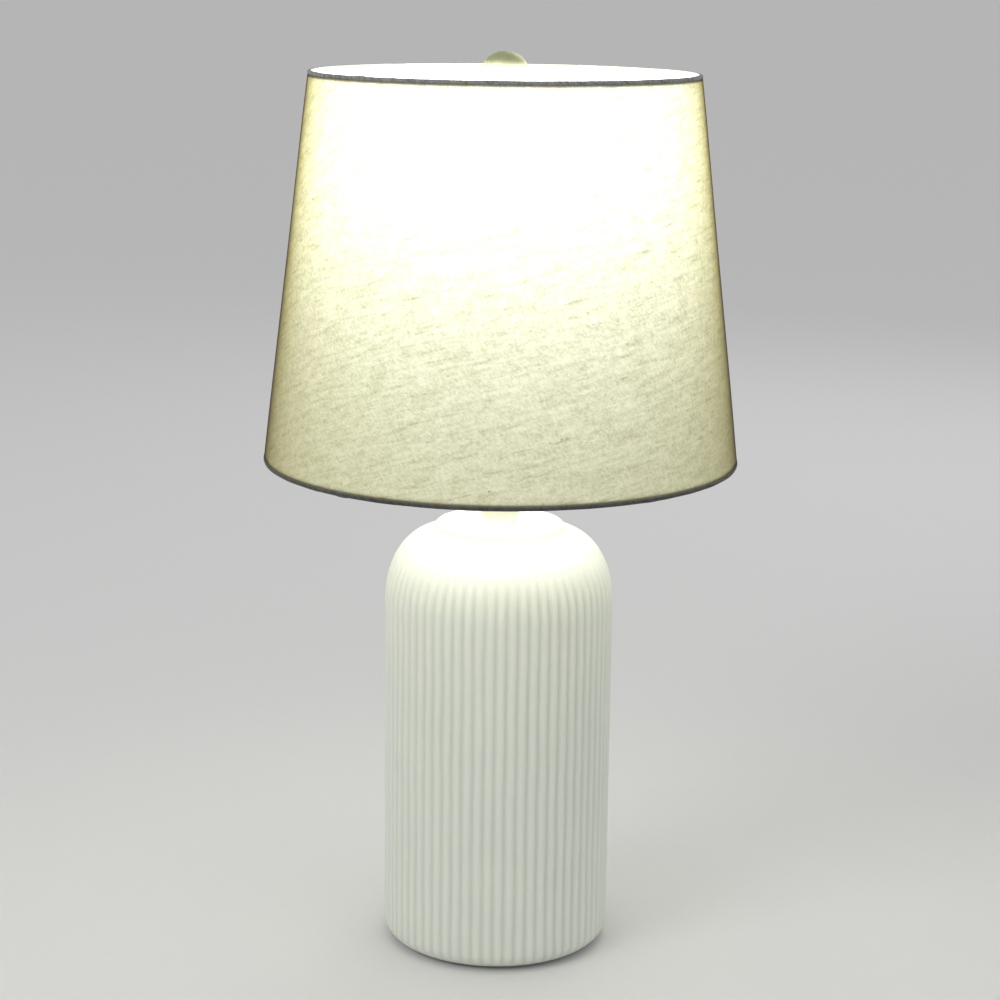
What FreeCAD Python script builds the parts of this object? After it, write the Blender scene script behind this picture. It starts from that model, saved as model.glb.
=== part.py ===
# Table lamp: ribbed ceramic body, brass neck, harp, screw socket with a rotary switch, bulb,
# tapered linen shade on a wire frame, and a bun-shaped finial.
#
# Millimetres. The lamp stands on z = 0 with its axis on Z. The harp lies in the XZ plane, the
# switch points to -Y (front) and the cord bushing to +Y (rear). Each piece is one STEP file.
import FreeCAD, Part
import math
import os

V = FreeCAD.Vector
ORIGIN = V(0, 0, 0)
UP = V(0, 0, 1)

# ---------------------------------------------------------------- clearances
SLIP = 0.05          # radial, between pieces that turn or slide on each other
SEAT = 0.05          # between flat faces that rest on each other and can part
LOOSE = 0.3          # between round pieces that only pass each other
GLUE = 0.05          # glue line between laminated sheets
ROD_HOLE = 0.6       # radial, round the lamp rod where it passes through loosely

# ---------------------------------------------------------------- foot and ceramic body
FELT_THICKNESS = 2.0
FELT_MARGIN = 1.5            # from the foot ring's outer edge in to the felt's edge
BODY_RADIUS = 87.0           # over the ribs
BODY_WALL = 6.5
FOOT_CORNER = 12.0
FOOT_RING_WIDTH = 7.0
STRAIGHT_HEIGHT = 269.0      # foot to the start of the shoulder
SHOULDER_RUN = 36.0          # radial size of the shoulder's quarter ellipse
SHOULDER_RISE = 53.0
COLLAR_RADIUS = 50.0
COLLAR_HEIGHT = 7.3
COLLAR_LEAN = 1.0            # how far the collar's side leans in before its rounded edge
COLLAR_EDGE = 4.0
RIB_COUNT = 66
RIB_PHASE = -91.0            # degrees, direction of the first groove
GROOVE_RADIUS = 2.4
GROOVE_DEPTH = 1.1
GROOVE_LEAVES = 36.0         # degrees round the shoulder where a groove runs out of the surface
GROOVE_RUN_OUT = 16.0

# ---------------------------------------------------------------- base plate, rod and nuts
RECESS_DEPTH = 10.0          # from the foot up to the ledge that the base plate bears on
LEDGE_WIDTH = 8.0
LEDGE_THICKNESS = 6.0
PLATE_THICKNESS = 2.0
PLATE_GAP = 0.5
ROD_RADIUS = 4.9
ROD_BORE = 3.4
ROD_FELT_GAP = 1.0
WASHER_RADIUS = 9.0
WASHER_THICKNESS = 1.2
NUT_FLATS = 14.0
BASE_NUT_HEIGHT = 5.0

# ---------------------------------------------------------------- cord bushing
BUSHING_HEIGHT = 28.0        # axis above the table
BUSHING_RADIUS = 4.9
BUSHING_BORE = 3.3
BUSHING_FLANGE = 7.5
BUSHING_FLANGE_THICKNESS = 1.6
BUSHING_TAIL = 1.5           # how far it stands into the hollow
BUSHING_EDGE = 0.8

# ---------------------------------------------------------------- neck
NECK_WASHER_RADIUS = 11.0
NECK_WASHER_THICKNESS = 1.0
NECK_HEIGHT = 57.0
NECK_FOOT_RADIUS = 12.0
NECK_FOOT_ROUND = 4.5        # height of the rounded lower edge
NECK_BELLY_RADIUS = 14.5
NECK_WAIST_RADIUS = 8.6
NECK_WAIST_HEIGHT = 38.0
NECK_BEAD_RADIUS = 1.8
NECK_TOP_RADIUS = 11.5
NECK_TOP_THICKNESS = 4.0

# ---------------------------------------------------------------- harp
SADDLE_WIDTH = 13.0
SADDLE_THICKNESS = 2.0
SADDLE_BEND = 7.0
SADDLE_LUG_HEIGHT = 3.0
POST_HEIGHT = 10.0
HARP_FOOT_SPAN = 54.0        # between the two legs at the saddle
HARP_HEIGHT = 254.0          # saddle underside to the top of the harp
HARP_WIRE = 2.2
HARP_FLARE_RADIUS = 60.0
HARP_LEAN = 11.0             # degrees
HARP_PAD_HALF_LENGTH = 12.0
HARP_PAD_WIDTH = 11.0
HARP_PAD_THICKNESS = 3.0
HARP_PAD_CORNER = 3.6
FERRULE_WALL = 1.1
FERRULE_EDGE = 0.36
FERRULE_LENGTH = 16.0
FERRULE_TRAVEL = 14.0        # up the straight part of the leg, until the post is free
LEG_SPARE = 3.0              # straight leg left above a raised ferrule
STUD_RADIUS = 3.1
STUD_LENGTH = 10.0
STUD_SHANK = 2.5
STUD_CHAMFER = 0.6
STUD_FLANGE_RADIUS = 9.0
STUD_FLANGE_THICKNESS = 2.6
STUD_HEAD_RADIUS = 4.2
STUD_HEAD_THICKNESS = 1.4

# ---------------------------------------------------------------- socket
LOCK_NUT_HEIGHT = 3.0
CAP_HUB_RADIUS = 8.0
CAP_HUB_HEIGHT = 7.0
CAP_DOME_HEIGHT = 9.0
CAP_SKIRT_HEIGHT = 7.0
CAP_WALL = 0.8
CAP_LEDGE = 2.2
SET_SCREW_RADIUS = 1.6
SET_SCREW_HEAD = 2.6
SET_SCREW_HEAD_LENGTH = 2.0
SHELL_RADIUS = 16.5
SHELL_WALL = 0.5
SHELL_HEIGHT = 43.0
SHELL_LIP = 0.7
SLEEVE_WALL = 0.9
CORE_RADIUS = 14.2
CORE_FLANGE_THICKNESS = 2.0
CORE_HEIGHT = 16.5
CORE_FLAT = 11.0             # from the axis to each flat that carries a terminal screw
SCREW_SHELL_WALL = 0.5
SCREW_SHELL_HEIGHT = 24.0
SCREW_SHELL_EYE = 7.0
CONTACT_LENGTH = 9.0
CONTACT_WIDTH = 4.5
CONTACT_HEIGHT = 3.0
CONTACT_THICKNESS = 0.6
TERMINAL_RADIUS = 1.5
TERMINAL_LENGTH = 6.0
TERMINAL_HEAD = 3.0
TERMINAL_HEAD_THICKNESS = 1.8
TERMINAL_SLOT = 0.7

# ---------------------------------------------------------------- rotary switch
SWITCH_HEIGHT = 9.2          # axis above the core's underside
ROTOR_RADIUS = 4.0
ROTOR_LENGTH = 6.0
SHAFT_RADIUS = 1.6
SHAFT_REACH = 31.0           # from the lamp's axis to the shaft's outer end
KNOB_RADIUS = 5.5
KNOB_LENGTH = 14.0
KNOB_GRIP = 8.0              # how far the shaft sits in the knob
KNOB_EDGE = 1.1
KNOB_FLUTES = 10
KNOB_FLUTE_RADIUS = 0.9

# ---------------------------------------------------------------- bulb
BULB_CAP_RADIUS = 12.9
BULB_CAP_ROOT = 12.2
BULB_CAP_WALL = 0.4
BULB_CAP_TURNS = 5
BULB_CAP_PITCH = 3.63
BULB_CAP_SKIRT = 5.0
BULB_TIP_RADIUS = 4.2
BULB_TIP_HEIGHT = 1.2
BULB_INSULATOR_HEIGHT = 3.6
HOUSING_FOOT_LIP = 0.9        # the housing's foot stands out past the screw cap
HOUSING_HEIGHT = 44.0
HOUSING_WALL = 1.6
HOUSING_BOW = 1.5            # how far the side bows in from a straight cone
GLOBE_RADIUS = 34.0
GLOBE_WALL = 1.2
GLOBE_OVERHANG = 5.0         # the diffuser's widest radius less the housing's rim
LED_BOARD_THICKNESS = 1.6
LED_BOARD_SEAT = 3.2         # below the housing's rim
LED_BOARD_LEDGE = 2.0
LED_CHIP = 3.0
LED_CHIP_HEIGHT = 0.7
LED_COUNT = 8

# ---------------------------------------------------------------- shade
SHADE_TOP_RADIUS = 143.7     # over the hem
SHADE_BOTTOM_RADIUS = 178.0  # over the hem
SHADE_HEIGHT = 288.0
SPIDER_DROP = 19.4           # from the shade's top edge down to the top of the hub
FABRIC_THICKNESS = 0.7
LINING_THICKNESS = 0.5
HEM_RADIUS = 1.9
HEM_SKIN = 0.55
HEM_PROUD = 0.4
HUB_RADIUS = 12.5
HUB_HOLE = 5.6
HUB_THICKNESS = 1.6
ARM_COUNT = 3
ARM_PHASE = 90.0             # degrees, direction of the first arm
ARM_RADIUS = 1.6
ARM_RISE_RUN = 20.0
ARM_BEND = 14.0
ARM_WELD = 0.01              # between an arm's end and the top ring

# ---------------------------------------------------------------- finial
FINIAL_RADIUS = 16.5
FINIAL_HALF_HEIGHT = 12.8
FINIAL_STEM_HEIGHT = 8.3     # hub to the underside of the bun
FINIAL_STEM_RADIUS = 5.5
FINIAL_SEAT_RADIUS = 7.5
FINIAL_SEAT_THICKNESS = 1.6
FINIAL_INSERT_DEPTH = 11.0   # how far the insert sits in the bun
FINIAL_BORE_SPARE = 2.0      # depth left above the stud

# ---------------------------------------------------------------- levels, bottom to top
z_foot = FELT_THICKNESS
z_ledge = z_foot + RECESS_DEPTH
z_plate = z_ledge - PLATE_THICKNESS
z_base_washer = z_plate - WASHER_THICKNESS
z_base_nut = z_base_washer - BASE_NUT_HEIGHT
z_rod_bottom = z_foot + ROD_FELT_GAP
z_floor = z_ledge + LEDGE_THICKNESS
z_shoulder = z_foot + STRAIGHT_HEIGHT
z_shoulder_top = z_shoulder + SHOULDER_RISE
z_collar = z_shoulder_top + COLLAR_HEIGHT
z_neck = z_collar + NECK_WASHER_THICKNESS
z_saddle = z_neck + NECK_HEIGHT
z_lock_nut = z_saddle + SADDLE_THICKNESS
z_cap = z_lock_nut + LOCK_NUT_HEIGHT
z_set_screw = z_cap + CAP_HUB_HEIGHT / 2
z_cap_dome = z_cap + CAP_HUB_HEIGHT
z_cap_ledge = z_cap_dome + CAP_DOME_HEIGHT
z_cap_top = z_cap_ledge + CAP_SKIRT_HEIGHT
z_rod_top = z_cap_dome
z_shell_top = z_cap_ledge + SHELL_HEIGHT
z_core_top = z_cap_ledge + CORE_HEIGHT
z_switch = z_cap_ledge + SWITCH_HEIGHT
z_screw_shell_top = z_core_top + SCREW_SHELL_HEIGHT
z_tip = z_core_top + CONTACT_HEIGHT + SEAT
z_bulb_cap = z_tip + BULB_TIP_HEIGHT + BULB_INSULATOR_HEIGHT
z_housing = z_bulb_cap + BULB_CAP_TURNS * BULB_CAP_PITCH + BULB_CAP_SKIRT
z_globe_seat = z_housing + HOUSING_HEIGHT
z_saddle_lug = z_saddle + SADDLE_THICKNESS / 2 + SADDLE_BEND
z_lug_top = z_saddle_lug + SADDLE_LUG_HEIGHT
z_post_top = z_lug_top + POST_HEIGHT
z_harp_foot = z_lug_top + SEAT
z_harp_top = z_saddle + HARP_HEIGHT
z_stud_flange = z_harp_top + SEAT
z_hub = z_stud_flange + STUD_FLANGE_THICKNESS + SEAT
z_hub_top = z_hub + HUB_THICKNESS
z_stud_top = z_stud_flange + STUD_FLANGE_THICKNESS + STUD_LENGTH
z_shade_top = z_hub_top + SPIDER_DROP
z_shade_bottom = z_shade_top - SHADE_HEIGHT
z_finial_seat = z_hub_top + SEAT
z_finial_ball = z_hub_top + FINIAL_STEM_HEIGHT
z_finial_mid = z_finial_ball + FINIAL_HALF_HEIGHT

# ---------------------------------------------------------------- radii that follow
foot_ring_outer = BODY_RADIUS - FOOT_CORNER
recess_radius = foot_ring_outer - FOOT_RING_WIDTH
ledge_radius = recess_radius - LEDGE_WIDTH
hollow_radius = BODY_RADIUS - BODY_WALL
rod_hole_radius = ROD_RADIUS + ROD_HOLE
thread_bore = ROD_RADIUS + SLIP
harp_foot_x = HARP_FOOT_SPAN / 2
ferrule_bore = HARP_WIRE + LOOSE
ferrule_radius = ferrule_bore + FERRULE_WALL
cap_bore = SHELL_RADIUS + SLIP
cap_radius = cap_bore + CAP_WALL
shell_bore = SHELL_RADIUS - SHELL_WALL
sleeve_radius = shell_bore - SLIP
sleeve_bore = sleeve_radius - SLEEVE_WALL
core_flange_radius = shell_bore - SLIP
screw_shell_bore = BULB_CAP_RADIUS + LOOSE
screw_shell_radius = screw_shell_bore + SCREW_SHELL_WALL
shaft_hole_radius = SHAFT_RADIUS + LOOSE
rotor_pocket_radius = ROTOR_RADIUS + LOOSE
top_ring_radius = SHADE_TOP_RADIUS - HEM_RADIUS
bottom_ring_radius = SHADE_BOTTOM_RADIUS - HEM_RADIUS
z_top_ring = z_shade_top - HEM_RADIUS
z_bottom_ring = z_shade_bottom + HEM_RADIUS
ring_wire = HEM_RADIUS - HEM_SKIN - GLUE
finial_thread = STUD_RADIUS + SLIP
housing_foot_radius = BULB_CAP_RADIUS + HOUSING_FOOT_LIP
housing_rim_radius = GLOBE_RADIUS - GLOBE_OVERHANG
board_bore = housing_rim_radius - 2 * HOUSING_WALL


# ---------------------------------------------------------------- helpers
def at(radius, z):
    return V(radius, 0, z)


def line(start, end):
    return Part.LineSegment(start, end).toShape()


def outline(points):
    """Straight edges through the points and back to the first one."""
    return [line(a, b) for a, b in zip(points, points[1:] + points[:1])]


def chain(points):
    """Straight edges through the points, left open."""
    return [line(a, b) for a, b in zip(points, points[1:])]


def lathe(edges):
    """Turns a closed outline in the XZ plane, whose edges may be in any order, round the Z axis."""
    closed = Part.Wire(Part.sortEdges(edges)[0])
    return Part.Face(closed).revolve(ORIGIN, UP, 360)


def turned(points):
    return lathe(outline([at(r, z) for r, z in points]))


def disc(radius, z_low, z_high):
    return Part.makeCylinder(radius, z_high - z_low, V(0, 0, z_low))


def ring(outer, inner, z_low, z_high):
    return disc(outer, z_low, z_high).cut(disc(inner, z_low - 1, z_high + 1))


def hexagon(flats, bore, z_low, z_high):
    corner = flats / math.sqrt(3)
    directions = [math.radians(60 * i) for i in range(6)]
    points = [V(corner * math.cos(a), corner * math.sin(a), z_low) for a in directions]
    prism = Part.Face(Part.makePolygon(points + points[:1])).extrude(V(0, 0, z_high - z_low))
    chamfer = (corner - flats / 2) / 2
    rounded = turned([(0, z_low), (flats / 2, z_low), (corner, z_low + chamfer),
                      (corner, z_high - chamfer), (flats / 2, z_high), (0, z_high)])
    return prism.common(rounded).cut(disc(bore, z_low - 1, z_high + 1))


def front_bar(radius, reach_from, reach_to, z):
    """A round bar along -Y, between two distances from the lamp's axis."""
    return Part.makeCylinder(radius, reach_to - reach_from, V(0, -reach_from, z), V(0, -1, 0))


def rear_bar(radius, reach_from, reach_to, z):
    """A round bar along +Y, between two distances from the lamp's axis."""
    return Part.makeCylinder(radius, reach_to - reach_from, V(0, reach_from, z), V(0, 1, 0))


def side_bar(radius, x_from, x_to, z):
    """A round bar along X."""
    direction = V(math.copysign(1, x_to - x_from), 0, 0)
    return Part.makeCylinder(radius, abs(x_to - x_from), V(x_from, 0, z), direction)


def rod_along(edges, radius):
    """A round wire along a chain of tangent edges that starts in the first edge's direction."""
    path = Part.Wire(edges)
    first = edges[0]
    start = first.valueAt(first.FirstParameter)
    direction = first.tangentAt(first.FirstParameter)
    section = Part.Wire(Part.makeCircle(radius, start, direction))
    return path.makePipeShell([section], True, False)


def turned_copies(shape, count, phase=0.0):
    """Copies of a shape spread evenly round the Z axis."""
    copies = []
    for i in range(count):
        copy = shape.copy()
        copy.rotate(ORIGIN, UP, phase + i * 360.0 / count)
        copies.append(copy)
    return copies


def ellipse_arc(centre_r, centre_z, run, rise, from_deg, to_deg):
    """Arc of an upright ellipse in the XZ plane; 0 degrees points outwards and 90 degrees up."""
    centre = at(centre_r, centre_z)
    outwards = at(centre_r + run, centre_z)
    upwards = at(centre_r, centre_z + rise)
    if abs(rise) > abs(run):
        curve = Part.Ellipse(upwards, outwards, centre)
        low, high = 90 - to_deg, 90 - from_deg
    else:
        curve = Part.Ellipse(outwards, upwards, centre)
        low, high = from_deg, to_deg
    return Part.ArcOfEllipse(curve, math.radians(low), math.radians(high)).toBSpline().toShape()


def quarter_round(centre_r, centre_z, radius, from_deg, to_deg):
    """Arc of a circle in the XZ plane, by its centre and two directions."""
    angles = [math.radians(a) for a in (from_deg, (from_deg + to_deg) / 2, to_deg)]
    points = [at(centre_r + radius * math.cos(a), centre_z + radius * math.sin(a)) for a in angles]
    return Part.Arc(*points).toShape()


# ---------------------------------------------------------------- foot and body
def ceramic_body():
    inner_run = SHOULDER_RUN - BODY_WALL
    inner_rise = SHOULDER_RISE - BODY_WALL
    shoulder_centre = BODY_RADIUS - SHOULDER_RUN
    collar_side_top = z_collar - COLLAR_EDGE
    collar_edge_centre = COLLAR_RADIUS - COLLAR_LEAN - COLLAR_EDGE
    edges = [
        line(at(recess_radius, z_foot), at(foot_ring_outer, z_foot)),
        quarter_round(foot_ring_outer, z_foot + FOOT_CORNER, FOOT_CORNER, -90, 0),
        line(at(BODY_RADIUS, z_foot + FOOT_CORNER), at(BODY_RADIUS, z_shoulder)),
        ellipse_arc(shoulder_centre, z_shoulder, SHOULDER_RUN, SHOULDER_RISE, 0, 90),
        line(at(shoulder_centre, z_shoulder_top), at(COLLAR_RADIUS, z_shoulder_top)),
        line(at(COLLAR_RADIUS, z_shoulder_top), at(COLLAR_RADIUS - COLLAR_LEAN, collar_side_top)),
        quarter_round(collar_edge_centre, collar_side_top, COLLAR_EDGE, 0, 90),
    ]
    edges += chain([at(collar_edge_centre, z_collar), at(rod_hole_radius, z_collar),
                    at(rod_hole_radius, z_shoulder + inner_rise),
                    at(shoulder_centre, z_shoulder + inner_rise)])
    edges.append(ellipse_arc(shoulder_centre, z_shoulder, inner_run, inner_rise, 0, 90))
    edges += chain([at(hollow_radius, z_shoulder), at(hollow_radius, z_floor), at(ledge_radius, z_floor),
                    at(ledge_radius, z_ledge), at(recess_radius, z_ledge), at(recess_radius, z_foot)])
    body = lathe(edges)
    bushing_hole = rear_bar(BUSHING_RADIUS + SLIP, hollow_radius - 1, BODY_RADIUS + 1, BUSHING_HEIGHT)
    return body.cut(turned_copies(groove_cutter(), RIB_COUNT, RIB_PHASE)).cut(bushing_hole)


def groove_cutter():
    """One groove between two ribs: up the straight side, round the shoulder and out of the surface."""
    stand_off = GROOVE_RADIUS - GROOVE_DEPTH
    shoulder_centre = BODY_RADIUS - SHOULDER_RUN
    run = SHOULDER_RUN + stand_off
    rise = SHOULDER_RISE + stand_off
    straight = line(at(shoulder_centre + run, z_foot - GROOVE_RADIUS), at(shoulder_centre + run, z_shoulder))
    leave = math.radians(GROOVE_LEAVES)
    leave_point = at(shoulder_centre + run * math.cos(leave), z_shoulder + rise * math.sin(leave))
    direction = at(-run * math.sin(leave), rise * math.cos(leave))
    direction.normalize()
    arc = Part.Arc(at(shoulder_centre + run, z_shoulder),
                   at(shoulder_centre + run * math.cos(leave / 2), z_shoulder + rise * math.sin(leave / 2)),
                   leave_point).toShape()
    run_out = line(leave_point, leave_point + direction * GROOVE_RUN_OUT)
    return rod_along([straight, arc, run_out], GROOVE_RADIUS)


def felt_pad():
    return disc(foot_ring_outer - FELT_MARGIN, 0, FELT_THICKNESS)


def base_plate():
    return ring(recess_radius - PLATE_GAP, rod_hole_radius, z_plate, z_ledge)


def base_lock_washer():
    return ring(WASHER_RADIUS, thread_bore, z_base_washer, z_plate)


def base_hex_nut():
    return hexagon(NUT_FLATS, thread_bore, z_base_nut, z_base_washer)


def lamp_rod():
    return ring(ROD_RADIUS, ROD_BORE, z_rod_bottom, z_rod_top)


def cord_bushing():
    wall_y = BODY_RADIUS + SEAT
    tail_y = hollow_radius - BUSHING_TAIL
    flange_y = wall_y + BUSHING_FLANGE_THICKNESS
    sleeve = rear_bar(BUSHING_RADIUS, tail_y, wall_y, BUSHING_HEIGHT)
    flange = rear_bar(BUSHING_FLANGE, wall_y, flange_y, BUSHING_HEIGHT)
    rim = [edge for edge in flange.Edges if abs(edge.CenterOfMass.y - flange_y) < 0.01]
    flange = flange.makeFillet(BUSHING_EDGE, rim)
    bore = rear_bar(BUSHING_BORE, tail_y - 1, flange_y + 1, BUSHING_HEIGHT)
    return sleeve.fuse(flange).cut(bore).removeSplitter()


# ---------------------------------------------------------------- neck
def neck_washer():
    return ring(NECK_WASHER_RADIUS, rod_hole_radius, z_collar, z_neck)


def brass_neck():
    """A turned neck: rounded foot, belly, slender waist, bead and top flange."""
    belly_z = z_neck + NECK_FOOT_ROUND
    waist_z = z_neck + NECK_WAIST_HEIGHT
    flange_z = z_saddle - NECK_TOP_THICKNESS
    bead_z = flange_z - NECK_BEAD_RADIUS
    bead_r = NECK_WAIST_RADIUS + NECK_BEAD_RADIUS
    foot_round = NECK_BELLY_RADIUS - NECK_FOOT_RADIUS
    upright = V(0, 0, 1)
    sweep = Part.BSplineCurve()
    sweep.interpolate([at(NECK_BELLY_RADIUS, belly_z), at(NECK_WAIST_RADIUS, waist_z)],
                      Tangents=[upright, upright], TangentFlags=[True, True])
    edges = [ellipse_arc(NECK_FOOT_RADIUS, belly_z, foot_round, NECK_FOOT_ROUND, -90, 0), sweep.toShape()]
    edges.append(line(at(NECK_WAIST_RADIUS, waist_z), at(NECK_WAIST_RADIUS, bead_z - NECK_BEAD_RADIUS)))
    edges.append(Part.Arc(at(NECK_WAIST_RADIUS, bead_z - NECK_BEAD_RADIUS), at(bead_r, bead_z),
                          at(NECK_WAIST_RADIUS, flange_z)).toShape())
    edges += chain([at(NECK_WAIST_RADIUS, flange_z), at(NECK_TOP_RADIUS, flange_z),
                    at(NECK_TOP_RADIUS, z_saddle), at(thread_bore, z_saddle), at(thread_bore, z_neck),
                    at(NECK_FOOT_RADIUS, z_neck)])
    return lathe(edges)


# ---------------------------------------------------------------- harp
def harp_saddle():
    """A strip that lies on the neck, turns up at both ends, and carries a half-round post on each."""
    mid_z = z_saddle + SADDLE_THICKNESS / 2
    inner = SADDLE_BEND - SADDLE_THICKNESS / 2
    outer = SADDLE_BEND + SADDLE_THICKNESS / 2
    flat_x = harp_foot_x - SADDLE_BEND
    strip = Part.makeBox(2 * flat_x, SADDLE_WIDTH, SADDLE_THICKNESS, V(-flat_x, -SADDLE_WIDTH / 2, z_saddle))
    saddle = strip
    for side in (-1, 1):
        corner = V(side * flat_x, -SADDLE_WIDTH / 2, mid_z + SADDLE_BEND)
        bend = Part.makeCylinder(outer, SADDLE_WIDTH, corner, V(0, 1, 0))
        bend = bend.cut(Part.makeCylinder(inner, SADDLE_WIDTH, corner, V(0, 1, 0)))
        keep_low = min(0, side) * outer + side * flat_x
        keep = Part.makeBox(outer, SADDLE_WIDTH, outer,
                            V(keep_low, -SADDLE_WIDTH / 2, mid_z + SADDLE_BEND - outer))
        lug = Part.makeCylinder(ferrule_radius, SADDLE_LUG_HEIGHT, V(side * harp_foot_x, 0, z_saddle_lug))
        saddle = saddle.fuse([bend.common(keep), lug, half_post(side, -1, z_lug_top, z_post_top)])
    return saddle.cut(disc(thread_bore, z_saddle - 1, z_lock_nut + 1)).removeSplitter()


def half_post(side, half, z_low, z_high):
    """Half of a round post at one harp foot: half is -1 for the inner half and 1 for the outer one."""
    post = Part.makeCylinder(HARP_WIRE, z_high - z_low, V(side * harp_foot_x, 0, z_low))
    outward = side * half
    low_x = side * harp_foot_x + outward * SEAT
    if outward < 0:
        low_x -= 2 * HARP_WIRE
    keep = Part.makeBox(2 * HARP_WIRE, 4 * HARP_WIRE, z_high - z_low, V(low_x, -2 * HARP_WIRE, z_low))
    return post.common(keep)


def harp_leg_path():
    """Centre line of the right-hand leg above its half-round foot, as tangent lines and arcs."""
    lean = math.radians(HARP_LEAN)
    sine, cosine = math.sin(lean), math.cos(lean)
    top_z = z_harp_top - HARP_PAD_THICKNESS / 2
    flare_start = z_lug_top + FERRULE_LENGTH + FERRULE_TRAVEL + LEG_SPARE
    flare_x = harp_foot_x + HARP_FLARE_RADIUS * (1 - cosine)
    flare_z = flare_start + HARP_FLARE_RADIUS * sine
    # The leaning line of length slant and the top bend close the loop at the pad:
    #   flare_x + slant * sine = pad end + bend * cosine
    #   flare_z + slant * cosine + bend * (1 + sine) = top_z
    reach = flare_x - HARP_PAD_HALF_LENGTH
    climb = top_z - flare_z
    bend = (reach * cosine + climb * sine) / (cosine * cosine + sine * (1 + sine))
    slant = (climb - bend * (1 + sine)) / cosine
    slant_end = at(flare_x + slant * sine, flare_z + slant * cosine)
    centre = slant_end - at(bend * cosine, -bend * sine)
    middle = math.radians((90 - HARP_LEAN) / 2)
    return [
        line(at(harp_foot_x, z_post_top), at(harp_foot_x, flare_start)),
        Part.Arc(at(harp_foot_x, flare_start),
                 at(harp_foot_x + HARP_FLARE_RADIUS * (1 - math.cos(lean / 2)),
                    flare_start + HARP_FLARE_RADIUS * math.sin(lean / 2)),
                 at(flare_x, flare_z)).toShape(),
        line(at(flare_x, flare_z), slant_end),
        Part.Arc(slant_end, centre + at(bend * math.cos(middle), bend * math.sin(middle)),
                 centre + at(0, bend)).toShape(),
    ]


def harp_loop():
    leg = rod_along(harp_leg_path(), HARP_WIRE)
    foot = half_post(1, 1, z_harp_foot, z_post_top)
    right = leg.fuse(foot)
    left = right.mirror(ORIGIN, V(1, 0, 0))
    low_z = z_harp_top - HARP_PAD_THICKNESS
    length = 2 * (HARP_PAD_HALF_LENGTH + HARP_WIRE)
    pad = Part.makeBox(length, HARP_PAD_WIDTH, HARP_PAD_THICKNESS,
                       V(-length / 2, -HARP_PAD_WIDTH / 2, low_z))
    upright = [edge for edge in pad.Edges if abs(edge.tangentAt(edge.FirstParameter).z) > 0.9]
    pad = pad.makeFillet(HARP_PAD_CORNER, upright)
    return pad.fuse([right, left]).cut(disc(STUD_SHANK + SLIP, low_z - 1, z_harp_top + 1))


def harp_ferrule_left():
    return ferrule(-1)


def harp_ferrule_right():
    return ferrule(1)


def ferrule(side):
    low = z_lug_top + SEAT
    tube = ring(ferrule_radius, ferrule_bore, low, low + FERRULE_LENGTH)
    ends = [edge for edge in tube.Edges
            if edge.Curve.TypeId == "Part::GeomCircle" and abs(edge.Curve.Radius - ferrule_radius) < 0.01]
    tube = tube.makeFillet(FERRULE_EDGE, ends)
    tube.translate(V(side * harp_foot_x, 0, 0))
    return tube


def harp_stud():
    """The swivel on top of the harp: rivet head, shank, flange and threaded stud."""
    head_top = z_harp_top - HARP_PAD_THICKNESS - SEAT
    head_low = head_top - STUD_HEAD_THICKNESS
    flange_top = z_stud_flange + STUD_FLANGE_THICKNESS
    chamfer_start = z_stud_top - STUD_CHAMFER
    return turned([(0, head_low), (STUD_HEAD_RADIUS, head_low), (STUD_HEAD_RADIUS, head_top),
                   (STUD_SHANK, head_top), (STUD_SHANK, z_stud_flange), (STUD_FLANGE_RADIUS, z_stud_flange),
                   (STUD_FLANGE_RADIUS, flange_top), (STUD_RADIUS, flange_top), (STUD_RADIUS, chamfer_start),
                   (STUD_RADIUS - STUD_CHAMFER, z_stud_top), (0, z_stud_top)])


# ---------------------------------------------------------------- socket
def saddle_lock_nut():
    return hexagon(NUT_FLATS, thread_bore, z_lock_nut, z_cap)


def socket_cap():
    ledge_bore = cap_bore - CAP_LEDGE
    dome_wall = 2 * CAP_WALL
    inner_depth = CAP_DOME_HEIGHT - dome_wall
    edges = [
        ellipse_arc(CAP_HUB_RADIUS, z_cap_ledge, cap_radius - CAP_HUB_RADIUS, -CAP_DOME_HEIGHT, 0, 90),
        ellipse_arc(CAP_HUB_RADIUS, z_cap_ledge, ledge_bore - CAP_HUB_RADIUS, -inner_depth, 0, 90),
    ]
    edges += chain([at(cap_radius, z_cap_ledge), at(cap_radius, z_cap_top), at(cap_bore, z_cap_top),
                    at(cap_bore, z_cap_ledge), at(ledge_bore, z_cap_ledge)])
    edges += chain([at(CAP_HUB_RADIUS, z_cap_dome + dome_wall), at(thread_bore, z_cap_dome + dome_wall),
                    at(thread_bore, z_cap), at(CAP_HUB_RADIUS, z_cap), at(CAP_HUB_RADIUS, z_cap_dome)])
    screw_hole = rear_bar(SET_SCREW_RADIUS + SLIP, thread_bore - 1, CAP_HUB_RADIUS + 1, z_set_screw)
    return lathe(edges).cut(screw_hole)


def socket_set_screw():
    head_start = CAP_HUB_RADIUS + SEAT
    head_end = head_start + SET_SCREW_HEAD_LENGTH
    screw = rear_bar(SET_SCREW_RADIUS, ROD_RADIUS + SEAT, head_start, z_set_screw)
    screw = screw.fuse(rear_bar(SET_SCREW_HEAD, head_start, head_end, z_set_screw)).removeSplitter()
    slot = Part.makeBox(2 * SET_SCREW_HEAD, TERMINAL_SLOT, TERMINAL_SLOT,
                        V(-SET_SCREW_HEAD, head_end - TERMINAL_SLOT, z_set_screw - TERMINAL_SLOT / 2))
    return screw.cut(slot)


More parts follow.
